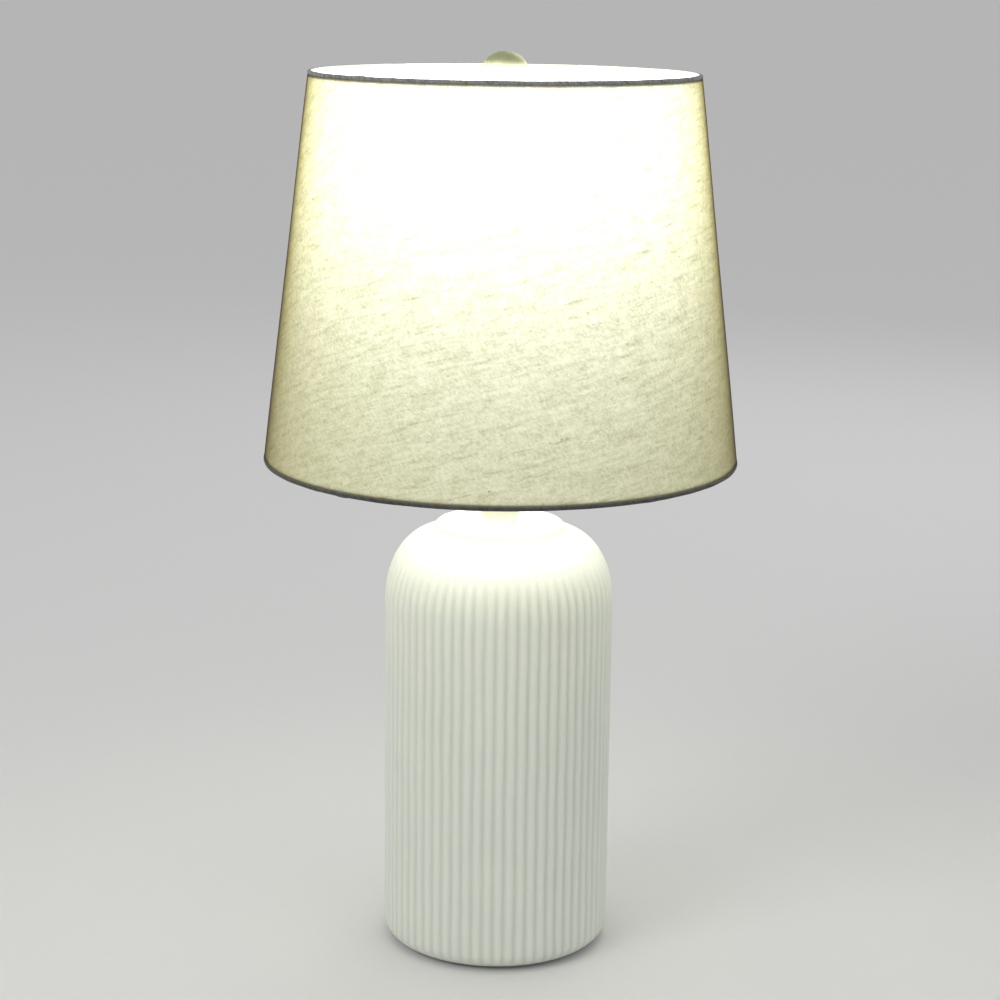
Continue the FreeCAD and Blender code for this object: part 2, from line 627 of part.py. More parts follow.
def socket_shell():
    lip = SHELL_RADIUS + SHELL_LIP
    shell = turned([(shell_bore, z_cap_ledge), (SHELL_RADIUS, z_cap_ledge),
                    (SHELL_RADIUS, z_shell_top - 2 * SHELL_LIP), (lip, z_shell_top - SHELL_LIP),
                    (lip, z_shell_top), (shell_bore, z_shell_top)])
    return shell.cut(shaft_hole())


def shaft_hole():
    """The hole in the shell and in its sleeve that the switch shaft passes through."""
    return front_bar(shaft_hole_radius, CORE_RADIUS, cap_radius + 1, z_switch)


def socket_sleeve():
    low = z_cap_ledge + CORE_FLANGE_THICKNESS + SEAT
    return ring(sleeve_radius, sleeve_bore, low, z_shell_top - SHELL_LIP).cut(shaft_hole())


def socket_core():
    core = disc(CORE_RADIUS, z_cap_ledge, z_core_top)
    for side in (-1, 1):
        flat_low = CORE_FLAT if side > 0 else -CORE_FLAT - CORE_RADIUS
        beyond_flat = Part.makeBox(CORE_RADIUS, 2 * CORE_RADIUS, CORE_HEIGHT,
                                   V(flat_low, -CORE_RADIUS, z_cap_ledge))
        screw_hole = side_bar(TERMINAL_RADIUS + SLIP, side * CORE_RADIUS,
                              side * (CORE_FLAT - TERMINAL_LENGTH - SEAT), z_switch)
        core = core.cut([beyond_flat, screw_hole])
    core = core.fuse(disc(core_flange_radius, z_cap_ledge, z_cap_ledge + CORE_FLANGE_THICKNESS))
    core = core.removeSplitter()
    pocket = front_bar(rotor_pocket_radius, -ROTOR_LENGTH / 2 - SEAT, ROTOR_LENGTH / 2 + SEAT, z_switch)
    shaft_way = front_bar(SHAFT_RADIUS + SLIP, 0, 2 * CORE_RADIUS, z_switch)
    wire_way = disc(ROD_BORE, z_cap_ledge - 1, z_switch)
    return core.cut([pocket, shaft_way, wire_way])


def screw_shell():
    """The bulb's threaded shell, with a floor that the core carries and an eye round the contact."""
    floor = z_core_top + SCREW_SHELL_WALL
    return turned([(SCREW_SHELL_EYE, z_core_top), (screw_shell_radius, z_core_top),
                   (screw_shell_radius, z_screw_shell_top), (screw_shell_bore, z_screw_shell_top),
                   (screw_shell_bore, floor), (SCREW_SHELL_EYE, floor)])


def centre_contact():
    """A sprung brass strip, folded back on itself: foot, bend and raised tongue."""
    bend_radius = CONTACT_HEIGHT / 2
    end_x = -CONTACT_LENGTH / 2
    side_y = -CONTACT_WIDTH / 2
    foot = Part.makeBox(CONTACT_LENGTH - bend_radius, CONTACT_WIDTH, CONTACT_THICKNESS,
                        V(end_x + bend_radius, side_y, z_core_top))
    tongue = foot.copy()
    tongue.translate(V(0, 0, CONTACT_HEIGHT - CONTACT_THICKNESS))
    axis_start = V(end_x + bend_radius, side_y, z_core_top + bend_radius)
    bend = Part.makeCylinder(bend_radius, CONTACT_WIDTH, axis_start, V(0, 1, 0))
    bend = bend.cut(Part.makeCylinder(bend_radius - CONTACT_THICKNESS, CONTACT_WIDTH, axis_start, V(0, 1, 0)))
    bend = bend.common(Part.makeBox(bend_radius, CONTACT_WIDTH, CONTACT_HEIGHT, V(end_x, side_y, z_core_top)))
    return foot.fuse([tongue, bend]).removeSplitter()


def terminal_screws():
    screws = []
    for side in (-1, 1):
        seat_x = side * (CORE_FLAT + SEAT)
        head_x = seat_x + side * TERMINAL_HEAD_THICKNESS
        screw = side_bar(TERMINAL_RADIUS, side * (CORE_FLAT - TERMINAL_LENGTH), seat_x, z_switch)
        screw = screw.fuse(side_bar(TERMINAL_HEAD, seat_x, head_x, z_switch)).removeSplitter()
        slot_x = min(head_x, head_x - side * TERMINAL_SLOT)
        slot = Part.makeBox(TERMINAL_SLOT, 2 * TERMINAL_HEAD, TERMINAL_SLOT,
                            V(slot_x, -TERMINAL_HEAD, z_switch - TERMINAL_SLOT / 2))
        screws.append(screw.cut(slot))
    return Part.makeCompound(screws)


# ---------------------------------------------------------------- rotary switch
def switch_rotor():
    rotor = front_bar(ROTOR_RADIUS, -ROTOR_LENGTH / 2, ROTOR_LENGTH / 2, z_switch)
    return rotor.cut(front_bar(SHAFT_RADIUS, 0, ROTOR_LENGTH, z_switch))


def switch_shaft():
    return front_bar(SHAFT_RADIUS, 0, SHAFT_REACH, z_switch)


def switch_knob():
    start = SHAFT_REACH - KNOB_GRIP
    end = start + KNOB_LENGTH
    knob = front_bar(KNOB_RADIUS, start, end, z_switch)
    rims = [edge for edge in knob.Edges if edge.Curve.TypeId == "Part::GeomCircle"]
    knob = knob.makeFillet(KNOB_EDGE, rims)
    flutes = []
    for i in range(KNOB_FLUTES):
        angle = 2 * math.pi * i / KNOB_FLUTES
        centre = V(KNOB_RADIUS * math.cos(angle), -start + 1, z_switch + KNOB_RADIUS * math.sin(angle))
        flutes.append(Part.makeCylinder(KNOB_FLUTE_RADIUS, KNOB_LENGTH + 2, centre, V(0, -1, 0)))
    return knob.cut(flutes).cut(front_bar(SHAFT_RADIUS, start - 1, SHAFT_REACH, z_switch))


# ---------------------------------------------------------------- bulb
def bulb_cap():
    """The screw cap, with its thread drawn as rounded rings so that it can rise without binding."""
    crest, root, wall = BULB_CAP_RADIUS, BULB_CAP_ROOT, BULB_CAP_WALL
    low, high = z_bulb_cap, z_housing
    edges = []
    for i in range(BULB_CAP_TURNS):
        start = low + i * BULB_CAP_PITCH
        edges.append(Part.Arc(at(root, start), at(crest, start + BULB_CAP_PITCH / 2),
                              at(root, start + BULB_CAP_PITCH)).toShape())
    skirt = low + BULB_CAP_TURNS * BULB_CAP_PITCH
    edges += chain([at(root, skirt), at(crest, skirt), at(crest, high), at(crest - wall, high),
                    at(crest - wall, skirt), at(root - wall, skirt), at(root - wall, low), at(root, low)])
    return lathe(edges)


def bulb_insulator():
    low = z_tip + BULB_TIP_HEIGHT
    return turned([(0, low), (BULB_TIP_RADIUS + 1, low), (BULB_CAP_ROOT, z_bulb_cap), (0, z_bulb_cap)])


def bulb_contact():
    """A shallow dome of solder under the insulator."""
    top = z_tip + BULB_TIP_HEIGHT
    sphere = (BULB_TIP_RADIUS ** 2 + BULB_TIP_HEIGHT ** 2) / (2 * BULB_TIP_HEIGHT)
    half_angle = math.asin(BULB_TIP_RADIUS / sphere) / 2
    middle = at(sphere * math.sin(half_angle), z_tip + sphere * (1 - math.cos(half_angle)))
    crown = Part.Arc(at(0, z_tip), middle, at(BULB_TIP_RADIUS, top)).toShape()
    return lathe([crown, line(at(BULB_TIP_RADIUS, top), at(0, top)), line(at(0, top), at(0, z_tip))])


def bulb_housing():
    """A cup that widens from the screw cap to the diffuser, with a ledge for the LED board."""
    foot = at(housing_foot_radius, z_housing)
    rim = at(housing_rim_radius, z_globe_seat)
    middle = (foot + rim) * 0.5 - at(HOUSING_BOW, 0)
    outer = Part.Arc(foot, middle, rim).toShape()
    floor = z_housing + HOUSING_WALL
    ledge = z_globe_seat - LED_BOARD_SEAT
    inside = chain([rim, at(board_bore, z_globe_seat), at(board_bore, ledge),
                    at(board_bore - LED_BOARD_LEDGE, ledge),
                    at(housing_foot_radius - 2 * HOUSING_WALL, floor), at(0, floor),
                    at(0, z_housing), foot])
    return lathe([outer] + inside)


def bulb_globe():
    """The frosted diffuser: a sphere cut off where it meets the housing's rim."""
    centre = V(0, 0, z_globe_seat + math.sqrt(GLOBE_RADIUS ** 2 - housing_rim_radius ** 2))
    shell = Part.makeSphere(GLOBE_RADIUS, centre).cut(Part.makeSphere(GLOBE_RADIUS - GLOBE_WALL, centre))
    return shell.cut(disc(GLOBE_RADIUS + 1, z_globe_seat - 2 * GLOBE_RADIUS, z_globe_seat))


def bulb_led_board():
    radius = board_bore - SLIP
    low = z_globe_seat - LED_BOARD_SEAT
    top = low + LED_BOARD_THICKNESS
    chip = Part.makeBox(LED_CHIP, LED_CHIP, LED_CHIP_HEIGHT, V(radius - 3 * LED_CHIP, -LED_CHIP / 2, top))
    return disc(radius, low, top).fuse(turned_copies(chip, LED_COUNT)).removeSplitter()


# ---------------------------------------------------------------- shade
def shade_wall(inset, thickness):
    """A cone sheet that lies a given distance inside the fabric's outer face, fitted round both hems."""
    def radius(z):
        share = (z - z_bottom_ring) / (z_top_ring - z_bottom_ring)
        bottom = SHADE_BOTTOM_RADIUS - HEM_PROUD
        top = SHADE_TOP_RADIUS - HEM_PROUD
        return bottom + share * (top - bottom) - inset

    low = radius(z_bottom_ring)
    high = radius(z_top_ring)
    sheet = turned([(low, z_bottom_ring), (high, z_top_ring), (high - thickness, z_top_ring),
                    (low - thickness, z_bottom_ring)])
    rolls = [Part.makeTorus(top_ring_radius, HEM_RADIUS + GLUE, V(0, 0, z_top_ring)),
             Part.makeTorus(bottom_ring_radius, HEM_RADIUS + GLUE, V(0, 0, z_bottom_ring))]
    return largest(sheet.cut(rolls))


def largest(shape):
    return max(shape.Solids, key=lambda solid: solid.Volume)


def shade_fabric():
    return shade_wall(0, FABRIC_THICKNESS)


def shade_lining():
    return shade_wall(FABRIC_THICKNESS + GLUE, LINING_THICKNESS)


def hem_roll(radius, z):
    roll = Part.makeTorus(radius, HEM_RADIUS, V(0, 0, z))
    return roll.cut(Part.makeTorus(radius, HEM_RADIUS - HEM_SKIN, V(0, 0, z)))


def arm_path():
    """From the hub's rim outwards, then up to the top ring."""
    low_z = z_hub + HUB_THICKNESS / 2
    corner = at(top_ring_radius - ARM_RISE_RUN, low_z)
    end = at(top_ring_radius, z_top_ring)
    rise = end - corner
    slope = math.atan2(rise.z, rise.x)
    trim = ARM_BEND * math.tan(slope / 2)
    first = corner - at(trim, 0)
    second = corner + at(trim * math.cos(slope), trim * math.sin(slope))
    middle = first + at(ARM_BEND * math.sin(slope / 2), ARM_BEND * (1 - math.cos(slope / 2)))
    return [line(at(HUB_HOLE + ARM_RADIUS, low_z), first), Part.Arc(first, middle, second).toShape(),
            line(second, end)]


def spider_arms():
    hub = disc(HUB_RADIUS, z_hub - ARM_RADIUS, z_hub_top + ARM_RADIUS)
    wire = Part.makeTorus(top_ring_radius, ring_wire + ARM_WELD, V(0, 0, z_top_ring))
    arm = largest(rod_along(arm_path(), ARM_RADIUS).cut([hub, wire]))
    return Part.makeCompound(turned_copies(arm, ARM_COUNT, ARM_PHASE))


def spider_hub():
    return ring(HUB_RADIUS, HUB_HOLE, z_hub, z_hub_top)


def shade_top_ring():
    return Part.makeTorus(top_ring_radius, ring_wire, V(0, 0, z_top_ring))


def shade_bottom_ring():
    return Part.makeTorus(bottom_ring_radius, ring_wire, V(0, 0, z_bottom_ring))


def shade_top_hem():
    """The rolled hem, notched where each spider arm reaches the ring inside it."""
    notches = turned_copies(rod_along(arm_path(), ARM_RADIUS + GLUE), ARM_COUNT, ARM_PHASE)
    return largest(hem_roll(top_ring_radius, z_top_ring).cut(notches))


def shade_bottom_hem():
    return hem_roll(bottom_ring_radius, z_bottom_ring)


# ---------------------------------------------------------------- finial
def finial_insert():
    bore_top = z_stud_top + FINIAL_BORE_SPARE
    top = z_finial_ball + FINIAL_INSERT_DEPTH
    seat_top = z_finial_seat + FINIAL_SEAT_THICKNESS
    return turned([(finial_thread, z_finial_seat), (FINIAL_SEAT_RADIUS, z_finial_seat),
                   (FINIAL_SEAT_RADIUS, seat_top), (FINIAL_STEM_RADIUS, seat_top),
                   (FINIAL_STEM_RADIUS, top), (0, top), (0, bore_top), (finial_thread, bore_top)])


def finial_ball():
    """A flattened ball, bored for the insert."""
    bun = lathe([ellipse_arc(0, z_finial_mid, FINIAL_RADIUS, FINIAL_HALF_HEIGHT, 0, 90),
                 ellipse_arc(0, z_finial_mid, FINIAL_RADIUS, -FINIAL_HALF_HEIGHT, 0, 90),
                 line(at(0, z_finial_ball), at(0, z_finial_mid + FINIAL_HALF_HEIGHT))])
    bore = disc(FINIAL_STEM_RADIUS + SLIP, z_finial_ball - 1, z_finial_ball + FINIAL_INSERT_DEPTH + SEAT)
    return bun.cut(bore)


# ---------------------------------------------------------------- build
PIECES = {
    "felt_pad": felt_pad,
    "base_plate": base_plate,
    "base_lock_washer": base_lock_washer,
    "base_hex_nut": base_hex_nut,
    "ceramic_body": ceramic_body,
    "cord_bushing": cord_bushing,
    "lamp_rod": lamp_rod,
    "neck_washer": neck_washer,
    "brass_neck": brass_neck,
    "harp_saddle": harp_saddle,
    "saddle_lock_nut": saddle_lock_nut,
    "harp_loop": harp_loop,
    "harp_ferrule_left": harp_ferrule_left,
    "harp_ferrule_right": harp_ferrule_right,
    "harp_stud": harp_stud,
    "socket_cap": socket_cap,
    "socket_set_screw": socket_set_screw,
    "socket_shell": socket_shell,
    "socket_sleeve": socket_sleeve,
    "socket_core": socket_core,
    "screw_shell": screw_shell,
    "centre_contact": centre_contact,
    "terminal_screws": terminal_screws,
    "switch_rotor": switch_rotor,
    "switch_shaft": switch_shaft,
    "switch_knob": switch_knob,
    "bulb_cap": bulb_cap,
    "bulb_insulator": bulb_insulator,
    "bulb_contact": bulb_contact,
    "bulb_housing": bulb_housing,
    "bulb_globe": bulb_globe,
    "bulb_led_board": bulb_led_board,
    "shade_fabric": shade_fabric,
    "shade_lining": shade_lining,
    "shade_top_hem": shade_top_hem,
    "shade_bottom_hem": shade_bottom_hem,
    "shade_top_ring": shade_top_ring,
    "shade_bottom_ring": shade_bottom_ring,
    "spider_hub": spider_hub,
    "spider_arms": spider_arms,
    "finial_insert": finial_insert,
    "finial_ball": finial_ball,
}


def main():
    os.makedirs("parts", exist_ok=True)
    for name, make in PIECES.items():
        shape = make()
        if not shape.isValid() or not shape.Solids:
            raise ValueError(name + " is not a valid solid")
        shape.exportStep(os.path.join("parts", name + ".step"))
        print(name, len(shape.Solids), round(shape.Volume, 1))


main()
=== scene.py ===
"""Table lamp, switched on: ribbed glazed body, brass neck, harp, bulb, linen shade and bun finial.

Metres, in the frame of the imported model. The lamp stands on z = 0 with its axis on Z.
"""

import math

import bmesh
import bpy
from mathutils import Matrix, Vector, noise


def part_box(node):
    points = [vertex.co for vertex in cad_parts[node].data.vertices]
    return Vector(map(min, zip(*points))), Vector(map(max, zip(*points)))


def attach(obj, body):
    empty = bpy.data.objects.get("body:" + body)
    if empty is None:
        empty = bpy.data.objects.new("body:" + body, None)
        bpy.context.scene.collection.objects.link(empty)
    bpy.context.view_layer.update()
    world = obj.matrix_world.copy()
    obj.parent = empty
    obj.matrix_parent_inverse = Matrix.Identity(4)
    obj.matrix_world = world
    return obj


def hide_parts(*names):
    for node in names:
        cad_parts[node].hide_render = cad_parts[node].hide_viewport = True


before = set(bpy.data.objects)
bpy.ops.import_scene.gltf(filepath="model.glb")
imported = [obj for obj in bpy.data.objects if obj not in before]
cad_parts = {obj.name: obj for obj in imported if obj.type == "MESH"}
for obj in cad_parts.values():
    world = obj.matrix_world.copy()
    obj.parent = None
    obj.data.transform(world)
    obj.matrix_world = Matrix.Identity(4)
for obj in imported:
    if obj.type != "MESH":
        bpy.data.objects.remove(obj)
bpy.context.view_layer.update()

MM = 0.001
TURN = 2 * math.pi

# ---------------- camera
CAMERA_BACK = 1.746
CAMERA_HEIGHT = 0.7443
CAMERA_DIP = math.radians(12.82)
CAMERA_ROLL = math.radians(0.70)
CAMERA_LENS = 85.1
CAMERA_SENSOR = 36
CAMERA_REACH = 200

# ---------------- ribbed body
BODY_RADIUS = 87 * MM
BODY_WALL = 6.5 * MM
FOOT_CORNER = 12 * MM
FOOT_FLAT_EDGE = 1 * MM
FOOT_RING_WIDTH = 7 * MM
RECESS_DEPTH = 10 * MM
LEDGE_WIDTH = 8 * MM
LEDGE_THICKNESS = 6 * MM
STRAIGHT_HEIGHT = 269 * MM
SHOULDER_RUN = 36 * MM
SHOULDER_RISE = 53 * MM
SHOULDER_END = 88.6                # degrees round the shoulder, where it meets the collar
COLLAR_RADIUS = 50 * MM
COLLAR_LEAN = 1 * MM
COLLAR_EDGE = 4 * MM
COLLAR_SOFTNESS = 0.6 * MM
ROD_HOLE = 5.5 * MM
ROD_HOLE_EDGE = 0.5 * MM
BUSHING_HOLE = 4.95 * MM
BUSHING_LEVEL = 28 * MM
BUSHING_HOLE_SIDES = 48
BUSHING_HOLE_SPARE = 3 * MM        # the cutter stands out past each side of the wall
WALL_ROWS = 34
SHOULDER_ROWS = 26
RIB_COUNT = 66
RIB_COLUMNS = 11                   # of the mesh, in one rib
RIB_PHASE = math.radians(-91)
GROOVE_DEPTH = 1.1 * MM
GROOVE_WIDTH = 0.21                # share of a rib
RIB_CROWN = 0.3 * MM
RIB_WANDER = 0.055                 # share of a rib
RIB_FADE_FROM = 280 * MM
RIB_FADE_TO = 316 * MM
RIB_FOOT_FADE = 6 * MM
RIB_SEED = 4.0
WELD = 0.02 * MM                   # closes the seam between the last column and the first
GLAZE = (0.652, 0.672, 0.60)
# Painted shade: the glaze colour in the grooves.
GROOVE_SHADE_GLAZE = (0.565, 0.588, 0.515)
LIT_GLAZE = (0.68, 0.685, 0.67)    # near the shoulder's top, in the full light of the bulb
LIT_GLAZE_FROM = 285 * MM
LIT_GLAZE_TO = 318 * MM

# ---------------- shade
FABRIC_THICKNESS = 0.7 * MM
HEM_RADIUS = 1.9 * MM
HEM_PROUD = 0.4 * MM
COVER_CLEAR = 1.2 * MM             # from a ring's axis to the cover's cut edge
COVER_BULGE = 0.45 * MM
COVER_BULGE_RUN = 30 * MM          # from a hem to where the cloth is fully slack
PUCKER_DEPTH = 0.16 * MM
PUCKER_REACH_BOTTOM = 12 * MM
PUCKER_REACH_TOP = 10 * MM
SEAM_OVERLAP = math.radians(3.2)
SEAM_AZIMUTH = math.radians(90)
SEAM_RISE = 0.75 * MM
SEAM_EASE = 1.6                    # the rise starts this many overlaps before the cloth's end
TUCK_WIDTH = 4 * MM                # cloth beside a hem: less light passes the glued turn-in, and its colour gets a painted shadow of the hem
GRAIN_AZIMUTH = math.radians(384)  # where the warp stands upright
HEM_LAP_TOP = math.radians(-136)   # where each tape's end lies over its start
HEM_LAP_BOTTOM = math.radians(-130)
HEM_LAP_LENGTH = 11 * MM
HEM_LAP_RISE = 0.45 * MM
HEM_LAP_EDGE = 1.2 * MM
HEM_UNEVENNESS = 0.30 * MM
HEM_SEED_TOP = 2.0
HEM_SEED_BOTTOM = 5.0
HEM_STEPS = 480
HEM_SIDES = 16
HEM_SKEW = (0.80, 0.60)            # cosine and sine of the angle between tape and grain
COVER_PITCH = 0.78 * MM            # from thread to thread
HEM_PITCH = 0.62 * MM
CLOTH_MAP = "flat_cloth"
COVER_COLUMNS = 420
COVER_ROWS = 72

# ---------------- light of the lamp
GLOW_LEVEL = 0.620                 # height that the light seems to come from
COVER_GLOW = 0.0400
COVER_SPILL = 0.137                # light that has bounced about inside the shade
LINING_GLOW = 0.075
GLOBE_GLOW = 9.0
HEM_GLOW = 0.045
# Painted shade on the lower hem tape and painted light on the upper one.
HEM_SHADE_BELOW = 0.42              # the lower tape lies in the cover's shade
HEM_LIGHT_ABOVE = 1.35
FINIAL_GLOW = 1.6
FINIAL_LIT_BELOW = 4 * MM          # fully lit this far under the finial's middle
FINIAL_DARK_ABOVE = 7 * MM
NECK_GLOW = 0.11
NECK_FOOT_GLOW = 0.55
NECK_FOOT_LIT = 3.6 * MM
LINING = (0.84, 0.83, 0.78)

# ---------------- felt
FELT_GREEN = (0.032, 0.058, 0.037)
FELT_RINGS = (0.3, 0.6, 0.85, 0.95, 0.99)
FELT_SIDES = 240
FELT_RAGGED = 0.35 * MM

# ---------------- stage and lamps
FLOOR_LEVEL = -0.2 * MM
FLOOR_RADIUS = 90.0
FLOOR_SIDES = 96
FLOOR_TONE = (0.6, 0.6, 0.59)
BACKDROP_TONE = (0.475, 0.478, 0.475)
WORLD_TONE = (0.765, 0.772, 0.78)
LAMP_TARGET = (0, 0, 0.34)
# Place, width, height and watts of each soft lamp.
SOFT_LAMPS = {
    "key": ((-1.7, -1.6, 1.75), 1.2, 1.2, 20),
    "fill": ((2.0, -1.5, 1.1), 1.6, 1.6, 4),
    "rear": ((0.9, 2.2, 1.8), 1.6, 1.2, 10),
}


# ================ node helpers
def add(tree, kind, feeds=None, **settings):
    """Adds a node, sets its properties and fills its inputs from sockets or plain values."""
    node = tree.nodes.new(kind)
    for name, value in settings.items():
        setattr(node, name, value)
    for key, value in (feeds or {}).items():
        if isinstance(value, bpy.types.NodeSocket):
            tree.links.new(value, node.inputs[key])
        else:
            node.inputs[key].default_value = value
    return node


def maths(tree, operation, *values, clamp=False):
    feeds = dict(enumerate(values))
    return add(tree, "ShaderNodeMath", feeds, operation=operation, use_clamp=clamp).outputs[0]


def times(tree, first, *others):
    """The product of two or more values."""
    for other in others:
        first = maths(tree, "MULTIPLY", first, other)
    return first


def swing(tree, value, middle, gain):
    """How far a value lies from its middle, times a gain."""
    return times(tree, maths(tree, "SUBTRACT", value, middle), gain)


def vector_maths(tree, operation, *values):
    return add(tree, "ShaderNodeVectorMath", dict(enumerate(values)), operation=operation).outputs[0]


def length_of(tree, vector):
    return add(tree, "ShaderNodeVectorMath", {0: vector}, operation="LENGTH").outputs["Value"]


def scaled(tree, vector, value):
    """A colour or direction multiplied by a single value."""
    return add(tree, "ShaderNodeVectorMath", {0: vector, "Scale": value}, operation="SCALE").outputs[0]


def parted(tree, vector):
    return add(tree, "ShaderNodeSeparateXYZ", {0: vector}).outputs


def joined(tree, x, y, z):
    return add(tree, "ShaderNodeCombineXYZ", {"X": x, "Y": y, "Z": z}).outputs[0]


def spread(tree, value, low, high, to_low=0.0, to_high=1.0, smooth=True):
    """Maps low..high to to_low..to_high and holds the ends."""
    feeds = {"Value": value, "From Min": low, "From Max": high, "To Min": to_low, "To Max": to_high}
    kind = "SMOOTHSTEP" if smooth else "LINEAR"
    return add(tree, "ShaderNodeMapRange", feeds, interpolation_type=kind).outputs[0]


def mingle(tree, share, first, second):
    """Mixes two colours, each a socket or a plain (r, g, b)."""
    first, second = ((*colour, 1) if isinstance(colour, tuple) else colour for colour in (first, second))
    return add(tree, "ShaderNodeMix", {0: share, 6: first, 7: second}, data_type="RGBA").outputs[2]


def stretched(tree, place, scale, shift=(0, 0, 0), turn=0.0):
    """Coordinates turned about Z, then scaled and shifted."""
    if turn:
        place = add(tree, "ShaderNodeMapping", {"Vector": place, "Rotation": (0, 0, turn)}).outputs[0]
    feeds = {"Vector": place, "Location": shift, "Scale": scale}
    return add(tree, "ShaderNodeMapping", feeds).outputs[0]


def cloud(tree, place, scale, detail=2.0, roughness=0.5):
    feeds = {"Vector": place, "Scale": scale, "Detail": detail, "Roughness": roughness}
    return add(tree, "ShaderNodeTexNoise", feeds).outputs["Fac"]


def seeded_cloud(tree, seed, scale, detail, **place):
    """Noise that another seed changes altogether."""
    feeds = {"W": seed, "Scale": scale, "Detail": detail, **place}
    return add(tree, "ShaderNodeTexNoise", feeds, noise_dimensions="4D").outputs["Fac"]


def object_place(tree):
    return add(tree, "ShaderNodeTexCoord").outputs["Object"]


def height_of(tree):
    """Height above the table."""
    return parted(tree, object_place(tree))[2]


def stored(tree, name):
    """A value that the mesh carries."""
    return add(tree, "ShaderNodeAttribute", attribute_name=name).outputs["Fac"]


def cloth_place(tree):
    return add(tree, "ShaderNodeUVMap", uv_map=CLOTH_MAP).outputs[0]


def new_group(name, inputs, outputs, kind="ShaderNodeTree"):
    """A node group with named sockets. An input is (name, type) or (name, type, default)."""
    group = bpy.data.node_groups.new(name, kind)
    for label, socket_type, *default in inputs:
        socket = group.interface.new_socket(label, in_out="INPUT", socket_type=socket_type)
        if default:
            socket.default_value = default[0]
    for label, socket_type in outputs:
        group.interface.new_socket(label, in_out="OUTPUT", socket_type=socket_type)
    entry = group.nodes.new("NodeGroupInput")
    leave = group.nodes.new("NodeGroupOutput")
    return group, entry.outputs, leave.inputs


def give(group, leave, **results):
    """Links results to the group's outputs of the same names."""
    for name, value in results.items():
        group.links.new(value, leave[name])


def placed(tree, group, **feeds):
    """Places a shader group. A feed's name is the socket's name in lower case."""
    names = {socket.name.lower(): socket.name for socket in group.interface.items_tree}
    feeds = {names[key.replace("_", " ")]: value for key, value in feeds.items()}
    return add(tree, "ShaderNodeGroup", feeds, node_tree=group).outputs


def bumped(tree, height, distance, strength=1.0):
    feeds = {"Height": height, "Distance": distance, "Strength": strength}
    return add(tree, "ShaderNodeBump", feeds).outputs[0]


def new_finish(name, colour, roughness, **sockets):
    """A material with its Principled shader. Keyword names are socket names with underscores."""
    material = bpy.data.materials.new(name)
    material.use_nodes = True
    tree = material.node_tree
    shader = tree.nodes["Principled BSDF"]
    shader.inputs["Base Color"].default_value = (*colour, 1)
    shader.inputs["Roughness"].default_value = roughness
    for key, value in sockets.items():
        shader.inputs[key.replace("_", " ")].default_value = value
    return material, tree, shader


def feed(shader, **sockets):
    for key, value in sockets.items():
        shader.id_data.links.new(value, shader.inputs[key.replace("_", " ")])


# ================ socket types and shared shader groups
FLOAT = "NodeSocketFloat"
VECTOR = "NodeSocketVector"
INTEGER = "NodeSocketInt"
GEOMETRY = "NodeSocketGeometry"
MATERIAL = "NodeSocketMaterial"


def mottle_group():
    """Slow unevenness of a colour or a roughness, round 1."""
    inputs = [("Place", VECTOR), ("Scale", FLOAT, 60.0), ("Amount", FLOAT, 0.1)]
    group, entry, leave = new_group("mottle", inputs, [("Value", FLOAT)])
    broad = cloud(group, entry["Place"], entry["Scale"], detail=3.0)
    fine = cloud(group, entry["Place"], times(group, entry["Scale"], 6.3), detail=2.0)
    both = maths(group, "MULTIPLY_ADD", fine, 0.4, times(group, broad, 0.6))
    uneven = swing(group, both, 0.5, 3.0)
    give(group, leave, Value=maths(group, "MULTIPLY_ADD", uneven, entry["Amount"], 1.0))
    return group


def turning_group():
    """Fine rings left by a lathe and hairline scratches across them."""
    inputs = [("Place", VECTOR), ("Rings", FLOAT, 2600.0), ("Amount", FLOAT, 0.1)]
    outputs = [("Value", FLOAT), ("Height", FLOAT)]
    group, entry, leave = new_group("turning_marks", inputs, outputs)
    squeezed = vector_maths(group, "MULTIPLY", entry["Place"], joined(group, 20.0, 20.0, entry["Rings"]))
    rings = cloud(group, squeezed, 1.0, detail=2.0)
    hair = cloud(group, stretched(group, entry["Place"], (900, 160, 220)), 1.0, detail=1.0)
    hair = spread(group, hair, 0.66, 0.74)
    value = maths(group, "MULTIPLY_ADD", swing(group, rings, 0.5, 2.0), entry["Amount"], 1.0)
    value = maths(group, "MULTIPLY_ADD", hair, times(group, entry["Amount"], -0.6), value)
    give(group, leave, Value=value, Height=maths(group, "SUBTRACT", rings, hair))
    return group


# Share of the cloth's unevenness, scale across and along the bolt, shift and turn of each kind of
# streak: fine and broad weft, fine warp, skewed fibres, and three sizes of soft clouds.
YARN_STREAKS = (
    (0.22, (60, 800, 1), (0, 0, 0), 0.0),
    (0.40, (30, 300, 1), (4.1, 9.3, 0), 0.0),
    (0.20, (850, 90, 1), (3.1, 7.7, 0), 0.0),
    (0.43, (190, 900, 1), (1.7, 2.6, 0), math.radians(52)),
    (0.50, (420, 480, 1), (6.2, 3.4, 0), 0.0),
    (0.38, (140, 200, 1), (2.2, 4.4, 0), 0.0),
    (0.26, (60, 80, 1), (8.2, 1.4, 0), 0.0),
)


